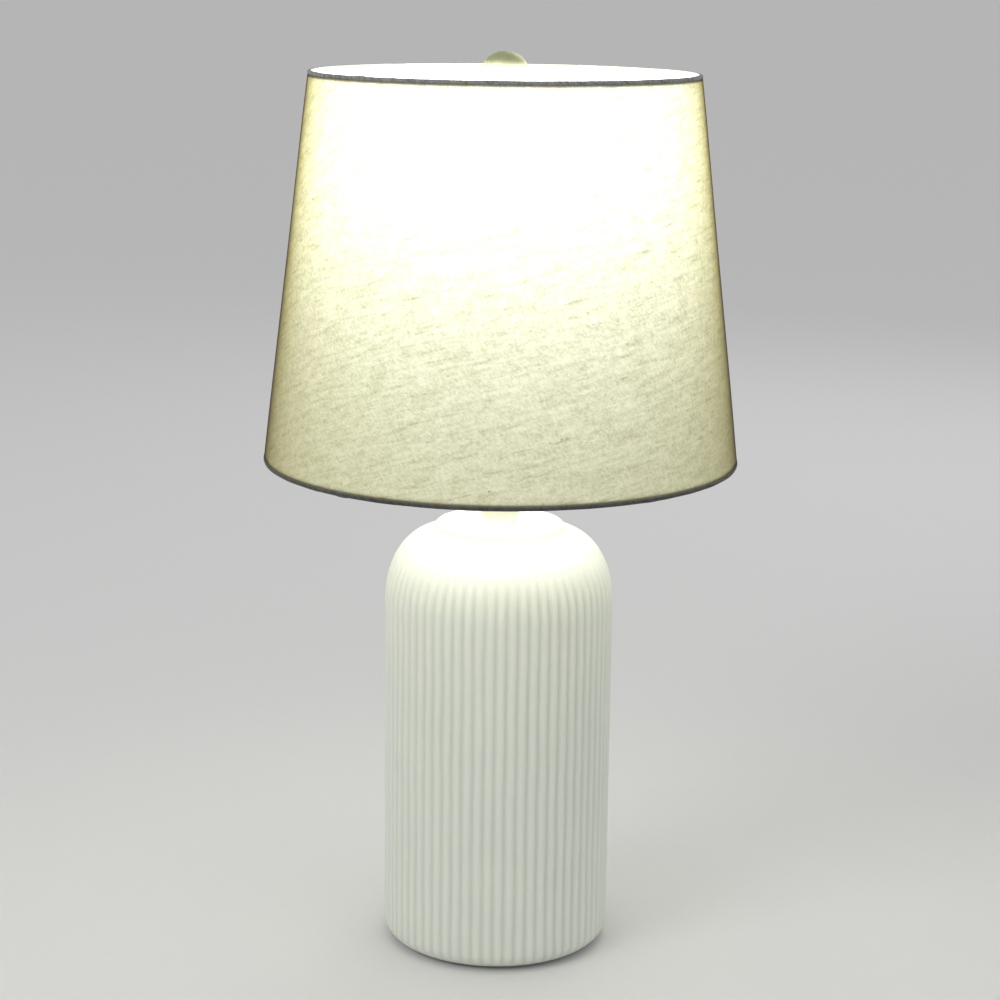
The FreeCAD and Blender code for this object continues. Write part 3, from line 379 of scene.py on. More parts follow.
def weave_group():
    """Plain-woven slubby cloth on flat coordinates in metres."""
    inputs = [("Place", VECTOR), ("Pitch", FLOAT, 0.0008), ("Slubs", FLOAT, 0.5)]
    outputs = [("Thickness", FLOAT), ("Fleck", FLOAT), ("Height", FLOAT)]
    group, entry, leave = new_group("slubby_weave", inputs, outputs)
    drift = add(group, "ShaderNodeTexNoise", {"Vector": entry["Place"], "Scale": 140.0, "Detail": 2.0})
    drift = vector_maths(group, "SUBTRACT", drift.outputs["Color"], (0.5, 0.5, 0.5))
    bent = vector_maths(group, "MULTIPLY_ADD", drift, (2.2 * MM, 2.2 * MM, 0), entry["Place"])
    parts = parted(group, bent)
    across = maths(group, "DIVIDE", parts[0], entry["Pitch"])
    along = maths(group, "DIVIDE", parts[1], entry["Pitch"])
    warp = thread_height(group, across, along, 0.4)
    weft = thread_height(group, along, across, -0.4)
    threads = maths(group, "MAXIMUM", warp, weft)

    def streak(scale, shift, turn=0.0):
        return cloud(group, stretched(group, bent, scale, shift, turn), 1.0, detail=1.0)

    thickness = 0.0
    for share, scale, shift, turn in YARN_STREAKS:
        one = maths(group, "MULTIPLY_ADD", streak(scale, shift, turn), 2 * share, -share)
        thickness = maths(group, "ADD", thickness, one)
    slub = spread(group, streak((32, 290, 1), (11.3, 2.9, 0)), 0.60, 0.84)
    cross_slub = spread(group, streak((560, 95, 1), (5.7, 19.1, 0)), 0.65, 0.78)
    slub = maths(group, "MAXIMUM", slub, times(group, cross_slub, 0.4))
    slub = times(group, slub, entry["Slubs"])
    fleck = spread(group, streak((230, 760, 1), (31.0, 8.0, 0)), 0.735, 0.785)
    give(group, leave, Thickness=maths(group, "ADD", thickness, slub), Fleck=fleck,
         Height=maths(group, "MULTIPLY_ADD", slub, 1.2, threads))
    return group


def thread_height(group, across, along, lift):
    """Height of the threads that run along one direction, rising over every second crossing."""
    ridge = maths(group, "ABSOLUTE", maths(group, "SINE", times(group, across, math.pi)))
    turn = times(group, maths(group, "FLOOR", across), math.pi)
    wave = times(group, maths(group, "COSINE", turn), maths(group, "COSINE", times(group, along, math.pi)))
    return times(group, ridge, maths(group, "MULTIPLY_ADD", wave, lift, 0.6))


def glow_group():
    """Light that reaches an upright wall from a small source on the lamp's axis."""
    inputs = [("Place", VECTOR), ("Level", FLOAT, GLOW_LEVEL), ("Power", FLOAT, 0.04)]
    group, entry, leave = new_group("glow_on_wall", inputs, [("Value", FLOAT)])
    x, y, z = parted(group, entry["Place"])
    radius = length_of(group, joined(group, x, y, 0.0))
    distance = length_of(group, joined(group, x, y, maths(group, "SUBTRACT", z, entry["Level"])))
    cube = maths(group, "MAXIMUM", maths(group, "POWER", distance, 3.0), 0.00005)
    give(group, leave, Value=times(group, maths(group, "DIVIDE", radius, cube), entry["Power"]))
    return group


MOTTLE = mottle_group()
TURNING = turning_group()
WEAVE = weave_group()
GLOW = glow_group()


def mottle(tree, scale, amount):
    """Unevenness over the surface, to multiply a colour or a roughness by."""
    return placed(tree, MOTTLE, place=object_place(tree), scale=scale, amount=amount)["Value"]


# ================ finishes
def glazed_ceramic():
    """Satin white glaze with painted shade in the grooves and painted light near the shoulder's top; bare
    clay under the foot.
    """
    material, tree, shader = new_finish(
        "satin_white_glaze", GLAZE, 0.42, Coat_Weight=0.25, Coat_Roughness=0.22)
    place = object_place(tree)
    # Painted shade darkens the glaze in the grooves; painted light lightens it near the shoulder's top.
    glazed = mingle(tree, stored(tree, "groove"), GLAZE, GROOVE_SHADE_GLAZE)
    glazed = mingle(tree, spread(tree, height_of(tree), LIT_GLAZE_FROM, LIT_GLAZE_TO), glazed, LIT_GLAZE)
    specks = spread(tree, cloud(tree, place, 900.0, detail=1.0), 0.74, 0.79)
    glazed = mingle(tree, times(tree, specks, 0.5), glazed, (0.50, 0.48, 0.42))
    colour = mingle(tree, stored(tree, "glaze"), (0.62, 0.58, 0.51), glazed)
    colour = scaled(tree, colour, mottle(tree, 22.0, 0.035))
    rough = spread(tree, stored(tree, "glaze"), 0.0, 1.0, 0.85, 0.40)
    pits = spread(tree, cloud(tree, place, 1400.0, detail=1.0), 0.26, 0.34)
    relief = maths(tree, "MULTIPLY_ADD", pits, 0.35, cloud(tree, place, 260.0, detail=2.0))
    feed(shader, Base_Color=colour, Roughness=times(tree, mottle(tree, 70.0, 0.14), rough),
         Normal=bumped(tree, relief, 0.12 * MM, 0.5))
    return material


def turned_metal(name, colour, dark, roughness, rings=2600.0, tarnish=0.35, **sockets):
    """Lathe-turned or drawn metal with a little tarnish."""
    material, tree, shader = new_finish(name, colour, roughness, Metallic=1.0, **sockets)
    place = object_place(tree)
    marks = placed(tree, TURNING, place=place, rings=rings, amount=0.09)
    stain = spread(tree, cloud(tree, place, 160.0, detail=4.0, roughness=0.6), 0.48, 0.72)
    stain = times(tree, stain, tarnish)
    rough = times(tree, mottle(tree, 240.0, 0.22), roughness)
    feed(shader, Base_Color=scaled(tree, mingle(tree, stain, colour, dark), marks["Value"]),
         Roughness=maths(tree, "MULTIPLY_ADD", stain, 0.18, rough),
         Normal=bumped(tree, marks["Height"], 0.02 * MM, 0.5))
    return material


def lit_metal(material, colour, light):
    """Adds lamplight to a metal. light works out its strength from the height."""
    tree = material.node_tree
    glow = scaled(tree, colour, light(tree, height_of(tree)))
    feed(tree.nodes["Principled BSDF"], Emission_Color=glow)
    return material


def lit_finial():
    """Champagne brass in a darker copy as painted shade, with the bulb's light painted on the finial's
    underside.
    """
    low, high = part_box("finial_ball")
    middle = (low[2] + high[2]) / 2
    metal = turned_metal(
        "champagne_finial", (0.57, 0.59, 0.345), (0.44, 0.45, 0.25), 0.52, tarnish=0.25,
        Emission_Strength=FINIAL_GLOW)
    return lit_metal(metal, (1.0, 1.0, 0.84), lambda tree, height: spread(
        tree, height, middle - FINIAL_LIT_BELOW, middle + FINIAL_DARK_ABOVE, 1.0, 0.0))


def lit_neck():
    """Champagne brass in a paler copy as painted reflection of the lit shoulder, with painted light all
    over that grows strong round its foot.
    """
    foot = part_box("brass_neck")[0][2]
    metal = turned_metal(
        "champagne_brass", (0.70, 0.72, 0.60), (0.58, 0.59, 0.46), 0.45, tarnish=0.2,
        Emission_Strength=1.0)
    return lit_metal(metal, (1.0, 1.0, 0.94), lambda tree, height: spread(
        tree, height, foot, foot + NECK_FOOT_LIT, NECK_FOOT_GLOW, NECK_GLOW))


def moulded_plastic(name, colour, roughness, grain=1500.0, depth=0.02, **sockets):
    """Moulded plastic with a fine texture."""
    material, tree, shader = new_finish(name, colour, roughness, **sockets)
    skin = cloud(tree, object_place(tree), grain, detail=3.0)
    feed(shader, Base_Color=scaled(tree, colour, mottle(tree, 110.0, 0.06)),
         Roughness=times(tree, mottle(tree, 400.0, 0.15), roughness),
         Normal=bumped(tree, skin, depth * MM, 0.5))
    return material


def slubby_linen():
    """The cover: cream linen with the lamp's light coming through it."""
    material, tree, shader = new_finish(
        "slubby_cream_linen", (0.49, 0.48, 0.35), 0.9, Sheen_Weight=0.12, Sheen_Roughness=0.5,
        Specular_IOR_Level=0.15, Coat_Weight=1.0, Coat_Roughness=1.0, Coat_IOR=1.0,
        Coat_Tint=(0.80, 0.778, 0.69, 1), Emission_Strength=1.0)
    cloth = placed(tree, WEAVE, place=cloth_place(tree), pitch=COVER_PITCH, slubs=0.6)
    tuck = stored(tree, "tuck")
    tuck_and_shadow = spread(tree, tuck, 0.25, 0.70)
    thick = maths(tree, "MULTIPLY_ADD", tuck, 0.5, cloth["Thickness"])
    passing = times(tree, spread(tree, thick, -0.5, 1.0, 1.27, 0.42, smooth=False),
                    spread(tree, cloth["Fleck"], 0.0, 1.0, 1.0, 0.52),
                    spread(tree, stored(tree, "layers"), 0.0, 1.0, 1.0, 0.72),
                    spread(tree, tuck_and_shadow, 0.0, 1.0, 1.0, 0.13))
    light = placed(tree, GLOW, place=object_place(tree), power=COVER_GLOW)["Value"]
    light = maths(tree, "ADD", light, COVER_SPILL)
    density = spread(tree, thick, -0.5, 1.0, smooth=False)
    warmth = mingle(tree, density, (0.945, 1.0, 0.945), (0.93, 1.0, 0.80))
    yarn = mingle(tree, spread(tree, thick, -0.3, 0.9), (0.50, 0.50, 0.34), (0.40, 0.39, 0.23))
    yarn = mingle(tree, cloth["Fleck"], yarn, (0.20, 0.17, 0.10))
    # Painted shadow of the hem: the cloth's colour turns brown beside it.
    yarn = mingle(tree, tuck_and_shadow, yarn, (0.21, 0.18, 0.105))
    feed(shader, Base_Color=yarn, Emission_Color=scaled(tree, warmth, times(tree, light, passing)),
         Normal=bumped(tree, cloth["Height"], 0.16 * MM, 0.7))
    return material


def hem_linen():
    """Opaque hem tape, painted greyer than the cover as shade because no light comes through it; painted
    darker below and lighter above.
    """
    material, tree, shader = new_finish(
        "grey_linen_tape", (0.155, 0.152, 0.142), 0.92, Sheen_Weight=0.15, Sheen_Roughness=0.5,
        Specular_IOR_Level=0.15, Emission_Strength=1.0)
    cloth = placed(tree, WEAVE, place=cloth_place(tree), pitch=HEM_PITCH, slubs=0.5)
    # Painted shade: the tape's yarn colours are kept dark grey.
    yarn = mingle(tree, spread(tree, cloth["Thickness"], -0.35, 0.6),
                  (0.192, 0.192, 0.198), (0.098, 0.095, 0.086))
    yarn = mingle(tree, cloth["Fleck"], yarn, (0.05, 0.045, 0.035))
    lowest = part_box("shade_bottom_hem")[0][2]
    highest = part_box("shade_top_hem")[1][2]
    # Painted shade on the lower tape and painted light on the upper, by height.
    tone = spread(tree, height_of(tree), lowest, highest, HEM_SHADE_BELOW, HEM_LIGHT_ABOVE)
    thin = spread(tree, cloth["Thickness"], -0.5, 1.0, 1.2, 0.6, smooth=False)
    light = times(tree, stored(tree, "lamplight"), thin)
    feed(shader, Base_Color=scaled(tree, yarn, tone),
         Emission_Color=scaled(tree, (0.97, 1.0, 0.80), light),
         Normal=bumped(tree, cloth["Height"], 0.16 * MM, 0.8))
    return material


def white_lining():
    """Laminated white lining, lit by the bulb."""
    material, tree, shader = new_finish("white_lining", LINING, 0.45, Emission_Strength=1.0)
    place = object_place(tree)
    light = placed(tree, GLOW, place=place, power=LINING_GLOW)["Value"]
    tone = mottle(tree, 130.0, 0.05)
    feed(shader, Base_Color=scaled(tree, LINING, tone),
         Emission_Color=scaled(tree, (0.97, 1.0, 0.78), times(tree, light, tone)),
         Normal=bumped(tree, cloud(tree, place, 700.0, detail=3.0), 0.04 * MM, 0.5))
    return material


def frosted_globe():
    """Lit diffuser of the bulb, a little dimmer at its seat."""
    material, tree, shader = new_finish(
        "frosted_globe", (0.9, 0.9, 0.86), 0.5, Emission_Strength=GLOBE_GLOW)
    low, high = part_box("bulb_globe")
    rise = spread(tree, height_of(tree), low[2], high[2], 0.62, 1.0)
    glow = scaled(tree, (1.0, 0.97, 0.86), times(tree, rise, mottle(tree, 90.0, 0.04)))
    feed(shader, Emission_Color=glow,
         Normal=bumped(tree, cloud(tree, object_place(tree), 1800.0), 0.01 * MM, 0.5))
    return material


def led_board():
    """White board with its lit chips."""
    white = (0.8, 0.81, 0.79)
    material, tree, shader = new_finish("white_led_board", white, 0.35, Emission_Strength=3.0)
    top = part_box("bulb_led_board")[1][2]
    chip = spread(tree, height_of(tree), top - 0.4 * MM, top - 0.2 * MM)
    board = scaled(tree, white, mottle(tree, 200.0, 0.05))
    feed(shader, Base_Color=mingle(tree, chip, board, (0.86, 0.78, 0.30)),
         Emission_Color=mingle(tree, chip, (0, 0, 0), (1.0, 0.95, 0.75)))
    return material


def pressed_felt():
    """Matted green wool felt."""
    material, tree, shader = new_finish(
        "green_felt", (0.03, 0.055, 0.035), 0.95, Sheen_Weight=0.3, Sheen_Roughness=0.4,
        Specular_IOR_Level=0.1)
    place = object_place(tree)
    fibres = cloud(tree, stretched(tree, place, (2600, 900, 900)), 1.0, detail=4.0, roughness=0.7)
    matting = cloud(tree, place, 300.0, detail=4.0, roughness=0.65)
    tone = maths(tree, "MULTIPLY_ADD", fibres, 0.8, times(tree, matting, 1.1))
    feed(shader, Base_Color=scaled(tree, FELT_GREEN, tone),
         Normal=bumped(tree, maths(tree, "ADD", fibres, matting), 0.25 * MM, 0.8))
    return material


def vulcanised_fibre():
    """Buff fibreboard of the socket's sleeve."""
    material, tree, shader = new_finish("buff_fibre", (0.45, 0.31, 0.16), 0.8)
    fibres = stretched(tree, object_place(tree), (500, 500, 90))
    fibres = cloud(tree, fibres, 1.0, detail=4.0, roughness=0.6)
    colour = mingle(tree, spread(tree, fibres, 0.3, 0.7), (0.50, 0.36, 0.20), (0.38, 0.25, 0.12))
    feed(shader, Base_Color=colour, Normal=bumped(tree, fibres, 0.05 * MM, 0.6))
    return material


def stage_floor():
    """Plain pale matt floor."""
    material, tree, shader = new_finish("pale_floor", FLOOR_TONE, 0.9, Specular_IOR_Level=0.1)
    feed(shader, Base_Color=scaled(tree, FLOOR_TONE, mottle(tree, 9.0, 0.006)))
    return material


# ================ mesh helpers
def put_in_scene(name, data):
    thing = bpy.data.objects.new(name, data)
    bpy.context.scene.collection.objects.link(thing)
    return thing


def mesh_object(name, points, faces, smooth=True):
    mesh = bpy.data.meshes.new(name)
    mesh.from_pydata([tuple(p) for p in points], [], faces)
    mesh.validate()
    mesh.polygons.foreach_set("use_smooth", [smooth] * len(mesh.polygons))
    return put_in_scene(name, mesh)


def circle(radius, sides, level):
    """Points round the Z axis at one level."""
    return [(radius * math.cos(TURN * side / sides), radius * math.sin(TURN * side / sides), level)
            for side in range(sides)]


def point_values(mesh, name, values):
    """Stores one number for each point, for a material or a Geometry Nodes tree to read."""
    layer = mesh.attributes.new(name, "FLOAT", "POINT")
    layer.data.foreach_set("value", list(values))


def evaluated_mesh(source):
    bpy.context.view_layer.update()
    graph = bpy.context.evaluated_depsgraph_get()
    return bpy.data.meshes.new_from_object(source.evaluated_get(graph))


def finished(source, name, material):
    """The evaluated shape of an object as a plain mesh object of its own."""
    mesh = evaluated_mesh(source)
    mesh.name = name
    bpy.data.objects.remove(source, do_unlink=True)
    mesh.materials.clear()
    mesh.materials.append(material)
    return put_in_scene(name, mesh)


def shape_by(source, tree, **inputs):
    """Puts a Geometry Nodes modifier on an object and sets its named inputs."""
    modifier = source.modifiers.new("shape", "NODES")
    modifier.node_group = tree
    names = {item.name.lower().replace(" ", "_"): item.identifier
             for item in tree.interface.items_tree if item.in_out == "INPUT"}
    for key, value in inputs.items():
        modifier[names[key]] = value


def finish_tree(tree, geometry, entry, leave):
    """Ends a Geometry Nodes tree with smooth shading, plain geometry and its material."""
    geometry = add(tree, "GeometryNodeSetShadeSmooth", {"Geometry": geometry}).outputs[0]
    geometry = add(tree, "GeometryNodeRealizeInstances", {"Geometry": geometry}).outputs[0]
    feeds = {"Geometry": geometry, "Material": entry["Material"]}
    give(tree, leave, Geometry=add(tree, "GeometryNodeSetMaterial", feeds).outputs[0])


# ================ ribbed body
def profile_row(r, z, out_r=0.0, out_z=0.0, glaze=1.0):
    return {"r": r, "z": z, "out": (out_r, 0.0, out_z), "glaze": glaze}


def arc_rows(centre_r, centre_z, run, rise, start, end, steps, glaze=1.0):
    """Profile rows on a quarter ellipse, with their outward directions."""
    rows = []
    for step in range(steps + 1):
        angle = math.radians(start + (end - start) * step / steps)
        out = Vector((math.cos(angle) / run, 0, math.sin(angle) / rise)).normalized()
        rows.append(profile_row(centre_r + run * math.cos(angle), centre_z + rise * math.sin(angle),
                                out.x, out.z, glaze))
    return rows


def straight_rows(start, end, steps):
    """Rows from one (r, z) to another, both ends left out."""
    return [profile_row(start[0] + (end[0] - start[0]) * step / steps,
                        start[1] + (end[1] - start[1]) * step / steps) for step in range(1, steps)]


def body_profile():
    """The closed outline of the ceramic wall, from the foot ring up, over and down inside."""
    z_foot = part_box("ceramic_body")[0][2]
    z_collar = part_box("ceramic_body")[1][2]
    z_shoulder = z_foot + STRAIGHT_HEIGHT
    ring_outer = BODY_RADIUS - FOOT_CORNER
    recess = ring_outer - FOOT_RING_WIDTH
    rows = [profile_row(recess, z_foot, glaze=0.0),
            profile_row(ring_outer - FOOT_FLAT_EDGE, z_foot, glaze=0.0)]
    rows += arc_rows(ring_outer, z_foot + FOOT_CORNER, FOOT_CORNER, FOOT_CORNER, -90, 0, 9)
    rows += [profile_row(BODY_RADIUS, z_foot + FOOT_CORNER
                         + (STRAIGHT_HEIGHT - FOOT_CORNER) * step / WALL_ROWS, 1.0, 0.0)
             for step in range(1, WALL_ROWS)]
    rows += arc_rows(BODY_RADIUS - SHOULDER_RUN, z_shoulder, SHOULDER_RUN, SHOULDER_RISE, 0, SHOULDER_END,
                     SHOULDER_ROWS)
    rows += collar_rows(z_shoulder + SHOULDER_RISE, z_collar)
    rows += inner_rows(z_foot, z_shoulder, recess)
    for row in rows:
        row["rib"] = rib_weight(row, z_foot)
    return rows


def collar_rows(z_crease, z_collar):
    """From the soft crease on the shoulder, up the leaning collar and in to the rod's hole."""
    soft = COLLAR_SOFTNESS
    lip = z_collar - COLLAR_EDGE
    lip_centre = COLLAR_RADIUS - COLLAR_LEAN - COLLAR_EDGE
    rows = [profile_row(COLLAR_RADIUS + soft, z_crease + 0.15 * soft, 0, 1),
            profile_row(COLLAR_RADIUS + 0.15 * soft, z_crease + soft, 1, 0)]
    rows += straight_rows((COLLAR_RADIUS, z_crease + soft), (COLLAR_RADIUS - COLLAR_LEAN, lip), 3)
    rows += arc_rows(lip_centre, lip, COLLAR_EDGE, COLLAR_EDGE, 0, 90, 7)
    rows += straight_rows((lip_centre, z_collar), (ROD_HOLE, z_collar), 5)
    return rows + [profile_row(ROD_HOLE + ROD_HOLE_EDGE, z_collar, glaze=0.5),
                   profile_row(ROD_HOLE, z_collar - ROD_HOLE_EDGE, glaze=0)]


def inner_rows(z_foot, z_shoulder, recess):
    """Down inside the wall, round the ledge that carries the base plate and back to the foot ring."""
    inner_rise = SHOULDER_RISE - BODY_WALL
    ledge = recess - LEDGE_WIDTH
    z_ledge = z_foot + RECESS_DEPTH
    z_floor = z_ledge + LEDGE_THICKNESS
    corners = ((BODY_RADIUS - BODY_WALL, z_floor), (ledge, z_floor), (ledge, z_ledge), (recess, z_ledge),
               (recess, z_foot))
    rows = [profile_row(ROD_HOLE, z_shoulder + inner_rise, glaze=0)]
    rows += arc_rows(BODY_RADIUS - SHOULDER_RUN, z_shoulder, SHOULDER_RUN - BODY_WALL, inner_rise, 90, 0, 7,
                     glaze=0)
    return rows + [profile_row(r, z, glaze=0) for r, z in corners]


def rib_weight(row, z_foot):
    """How fully the ribs are cut at a row: none inside, fading out on the shoulder and at the foot."""
    if row["out"] == (0.0, 0.0, 0.0):
        return 0.0
    top = min(max((RIB_FADE_TO - row["z"]) / (RIB_FADE_TO - RIB_FADE_FROM), 0), 1)
    foot = min(max((row["z"] - z_foot - FOOT_FLAT_EDGE) / RIB_FOOT_FADE, 0), 1)
    return top * top * (3 - 2 * top) * foot


def ribbed_body_tree():
    """Turns a profile chain into a ribbed wall: a groove between each two ribs, none quite alike."""
    inputs = [("Geometry", GEOMETRY), ("Rib Count", INTEGER), ("Columns", INTEGER), ("Phase", FLOAT),
              ("Groove Depth", FLOAT), ("Groove Width", FLOAT), ("Crown", FLOAT), ("Wander", FLOAT),
              ("Seed", FLOAT), ("Material", MATERIAL)]
    tree, entry, leave = new_group("ribbed_body", inputs, [("Geometry", GEOMETRY)], "GeometryNodeTree")
    chain = {"Geometry": entry["Geometry"]}
    rows = add(tree, "GeometryNodeAttributeDomainSize", chain, component="MESH").outputs["Point Count"]
    total = times(tree, entry["Rib Count"], entry["Columns"])
    columns = maths(tree, "ADD", total, 1.0)
    grid = add(tree, "GeometryNodeMeshGrid", {"Vertices X": columns, "Vertices Y": rows}).outputs["Mesh"]
    index = add(tree, "GeometryNodeInputIndex").outputs[0]
    row = maths(tree, "FLOORED_MODULO", index, rows)
    column = maths(tree, "FLOOR", maths(tree, "DIVIDE", maths(tree, "ADD", index, 0.5), rows))

    def of_row(kind, name):
        field = add(tree, "GeometryNodeInputNamedAttribute", {"Name": name}, data_type=kind).outputs[0]
        node = add(tree, "GeometryNodeSampleIndex", {**chain, "Index": row}, data_type=kind, domain="POINT")
        tree.links.new(field, node.inputs["Value"])
        return node.outputs["Value"]

    share = maths(tree, "DIVIDE", column, total)
    angle = maths(tree, "MULTIPLY_ADD", share, TURN, entry["Phase"])
    cosine = maths(tree, "COSINE", angle)
    sine = maths(tree, "SINE", angle)

    def round_axis(vector):
        radial, _, level = parted(tree, vector)
        return joined(tree, times(tree, radial, cosine), times(tree, radial, sine), level)

    wall = round_axis(of_row("FLOAT_VECTOR", "position"))
    direction = round_axis(of_row("FLOAT_VECTOR", "outward"))
    groove, sink = ribs_on(tree, entry, wall, share, of_row("FLOAT", "rib"))
    place = vector_maths(tree, "ADD", wall, scaled(tree, direction, sink))
    for name, value in (("groove", groove), ("glaze", of_row("FLOAT", "glaze"))):
        feeds = {"Geometry": grid, "Name": name, "Value": value}
        grid = add(tree, "GeometryNodeStoreNamedAttribute", feeds, data_type="FLOAT",
                   domain="POINT").outputs[0]
    grid = add(tree, "GeometryNodeSetPosition", {"Geometry": grid, "Position": place}).outputs[0]
    grid = add(tree, "GeometryNodeMergeByDistance", {"Geometry": grid, "Distance": WELD}).outputs[0]
    finish_tree(tree, grid, entry, leave)
    return tree


def ribs_on(tree, entry, wall, share, rib):
    """The groove's mask and how far the wall is moved out, at a share of the way round."""
    sway = vector_maths(tree, "MULTIPLY", wall, (1.0, 1.0, 0.35))
    sideways = seeded_cloud(tree, entry["Seed"], 62.0, 1.0, Vector=sway)
    wander = times(tree, swing(tree, sideways, 0.5, 2.0), entry["Wander"], 2.2)
    position = maths(tree, "MULTIPLY_ADD", share, entry["Rib Count"], wander)
    fraction = maths(tree, "FRACT", maths(tree, "ADD", position, 10.0))
    distance = maths(tree, "MINIMUM", fraction, maths(tree, "SUBTRACT", 1.0, fraction))
    ratio = maths(tree, "DIVIDE", distance, entry["Groove Width"])
    groove = times(tree, maths(tree, "EXPONENT", times(tree, ratio, ratio, -1.0)), rib)
    uneven = seeded_cloud(tree, maths(tree, "ADD", entry["Seed"], 7.0), 48.0, 1.0, Vector=sway)
    depth = maths(tree, "MULTIPLY_ADD", swing(tree, uneven, 0.5, 2.0), 0.32, 0.95)
    depth = times(tree, maths(tree, "MINIMUM", depth, 1.15), entry["Groove Depth"])
    crown = maths(tree, "MULTIPLY_ADD", maths(tree, "COSINE", times(tree, distance, TURN)), 0.5, 0.5)
    crown = times(tree, crown, entry["Crown"], rib)
    return groove, times(tree, maths(tree, "ADD", times(tree, groove, depth), crown), -1.0)


def ribbed_body(material):
    rows = body_profile()
    chain = mesh_object("body_profile", [(row["r"], 0, row["z"]) for row in rows], [])
    layer = chain.data.attributes.new("outward", "FLOAT_VECTOR", "POINT")
    layer.data.foreach_set("vector", [value for row in rows for value in row["out"]])
    point_values(chain.data, "rib", [row["rib"] for row in rows])
    point_values(chain.data, "glaze", [row["glaze"] for row in rows])
    shape_by(chain, ribbed_body_tree(), rib_count=RIB_COUNT, columns=RIB_COLUMNS, phase=RIB_PHASE,
             groove_depth=GROOVE_DEPTH, groove_width=GROOVE_WIDTH, crown=RIB_CROWN, wander=RIB_WANDER,
             seed=RIB_SEED, material=material)
    piece = finished(chain, "ribbed_body", material)
    face_outwards(piece.data)
    bore_rear_hole(piece)
    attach(piece, "lamp_base")
    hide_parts("ceramic_body")


def face_outwards(mesh):
    work = bmesh.new()
    work.from_mesh(mesh)
    bmesh.ops.recalc_face_normals(work, faces=work.faces)
    work.to_mesh(mesh)
    work.free()


def bore_rear_hole(piece):
    """Cuts the cord bushing's hole through the low rear wall."""
    sides = BUSHING_HOLE_SIDES
    points = []
    for y in (BODY_RADIUS - BODY_WALL - BUSHING_HOLE_SPARE, BODY_RADIUS + BUSHING_HOLE_SPARE):
        points += [(x, y, BUSHING_LEVEL + z) for x, z, _ in circle(BUSHING_HOLE, sides, 0)]
    faces = [tuple(range(sides)), tuple(reversed(range(sides, 2 * sides)))]
    faces += [(side, side + sides, (side + 1) % sides + sides, (side + 1) % sides) for side in range(sides)]
    plug = mesh_object("bushing_hole", points, faces, smooth=False)
    face_outwards(plug.data)
    cut = piece.modifiers.new("hole", "BOOLEAN")
    cut.operation = "DIFFERENCE"
    cut.solver = "EXACT"
    cut.object = plug
    mesh = evaluated_mesh(piece)
    piece.modifiers.clear()
    piece.data = mesh
    bpy.data.objects.remove(plug, do_unlink=True)


# ================ shade
def cone_values():
    """Level, cover radius and frame ring radius at the shade's low and high ends."""
    cone = {}
    for end, node, corner, inwards in (("low", "shade_bottom_hem", 0, 1), ("high", "shade_top_hem", 1, -1)):
        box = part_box(node)
        outer = (box[1][0] - box[0][0]) / 2
        cone[end + "_z"] = box[corner][2] + inwards * HEM_RADIUS
        cone[end + "_r"] = outer - HEM_PROUD
        cone[end + "_ring"] = outer - HEM_RADIUS
    return cone


def linen_cover(material, cone):
    """One sheet cut as a ring sector, wrapped round the frame and lapped at the rear."""
    rise = cone["high_z"] - cone["low_z"]
    run = cone["low_r"] - cone["high_r"]
    slant = math.hypot(rise, run)
    sine = run / slant
    apex = cone["low_r"] / sine
    outward = Vector((rise / slant, run / slant))
    sweep = TURN + SEAM_OVERLAP
    points, flats, layers, tucks = [], [], [], []
    for column in range(COVER_COLUMNS + 1):
        share = column / COVER_COLUMNS
        azimuth = SEAM_AZIMUTH - SEAM_OVERLAP / 2 + sweep * share
        left = sweep * (1 - share)
        lap = max(0.0, 1 - left / (SEAM_OVERLAP * SEAM_EASE))
        turned = (azimuth - GRAIN_AZIMUTH) * sine
        for row in range(COVER_ROWS + 1):
            up = COVER_CLEAR + (slant - 2 * COVER_CLEAR) * row / COVER_ROWS
            proud = cover_relief(azimuth, up, slant) + SEAM_RISE * min(lap * SEAM_EASE, 1.0)
            radius = cone["low_r"] - up * sine + proud * outward.x
            level = cone["low_z"] + up * rise / slant + proud * outward.y
            points.append((radius * math.cos(azimuth), radius * math.sin(azimuth), level))
            flats.append(((apex - up) * math.sin(turned), (up - apex) * math.cos(turned)))
            layers.append(1.0 if left < SEAM_OVERLAP else 0.0)
            tucks.append(max(0.0, 1 - min(up, slant - up) / TUCK_WIDTH))
    stride = COVER_ROWS + 1
    faces = [(c * stride + r, (c + 1) * stride + r, (c + 1) * stride + r + 1, c * stride + r + 1)
             for c in range(COVER_COLUMNS) for r in range(COVER_ROWS)]
    piece = mesh_object("linen_cover", points, faces)
    point_values(piece.data, "layers", layers)
    point_values(piece.data, "tuck", tucks)
    write_uv(piece.data, [flats[loop.vertex_index] for loop in piece.data.loops])
    thicken(piece, FABRIC_THICKNESS)
    piece.data.materials.append(material)
    narrow = apex - slant
    half = sweep * sine / 2
    flat_size = (2 * apex * math.sin(half), apex - narrow * math.cos(half))
    return piece, flat_size, half * (apex * apex - narrow * narrow)


def cover_relief(azimuth, up, slant):
    """How far the cloth stands off its lining: soft slackness, and small puckers beside the hems."""
    x = math.cos(azimuth)
    y = math.sin(azimuth)
    slack = 0.5 + 0.5 * noise.noise(Vector((x * 2.1, y * 2.1, up * 9)))
    slack *= COVER_BULGE * min(1.0, up / COVER_BULGE_RUN, (slant - up) / COVER_BULGE_RUN)
    near_hem = math.exp(-up / PUCKER_REACH_BOTTOM) + 0.7 * math.exp(-(slant - up) / PUCKER_REACH_TOP)
    pucker = noise.noise(Vector((x * 13, y * 13, up * 4 + 3.0)))
    return max(0.0, slack + near_hem * PUCKER_DEPTH * (pucker + 0.4))


def write_uv(mesh, values):
    layer = mesh.uv_layers.new(name=CLOTH_MAP)
    layer.data.foreach_set("uv", [number for pair in values for number in pair])


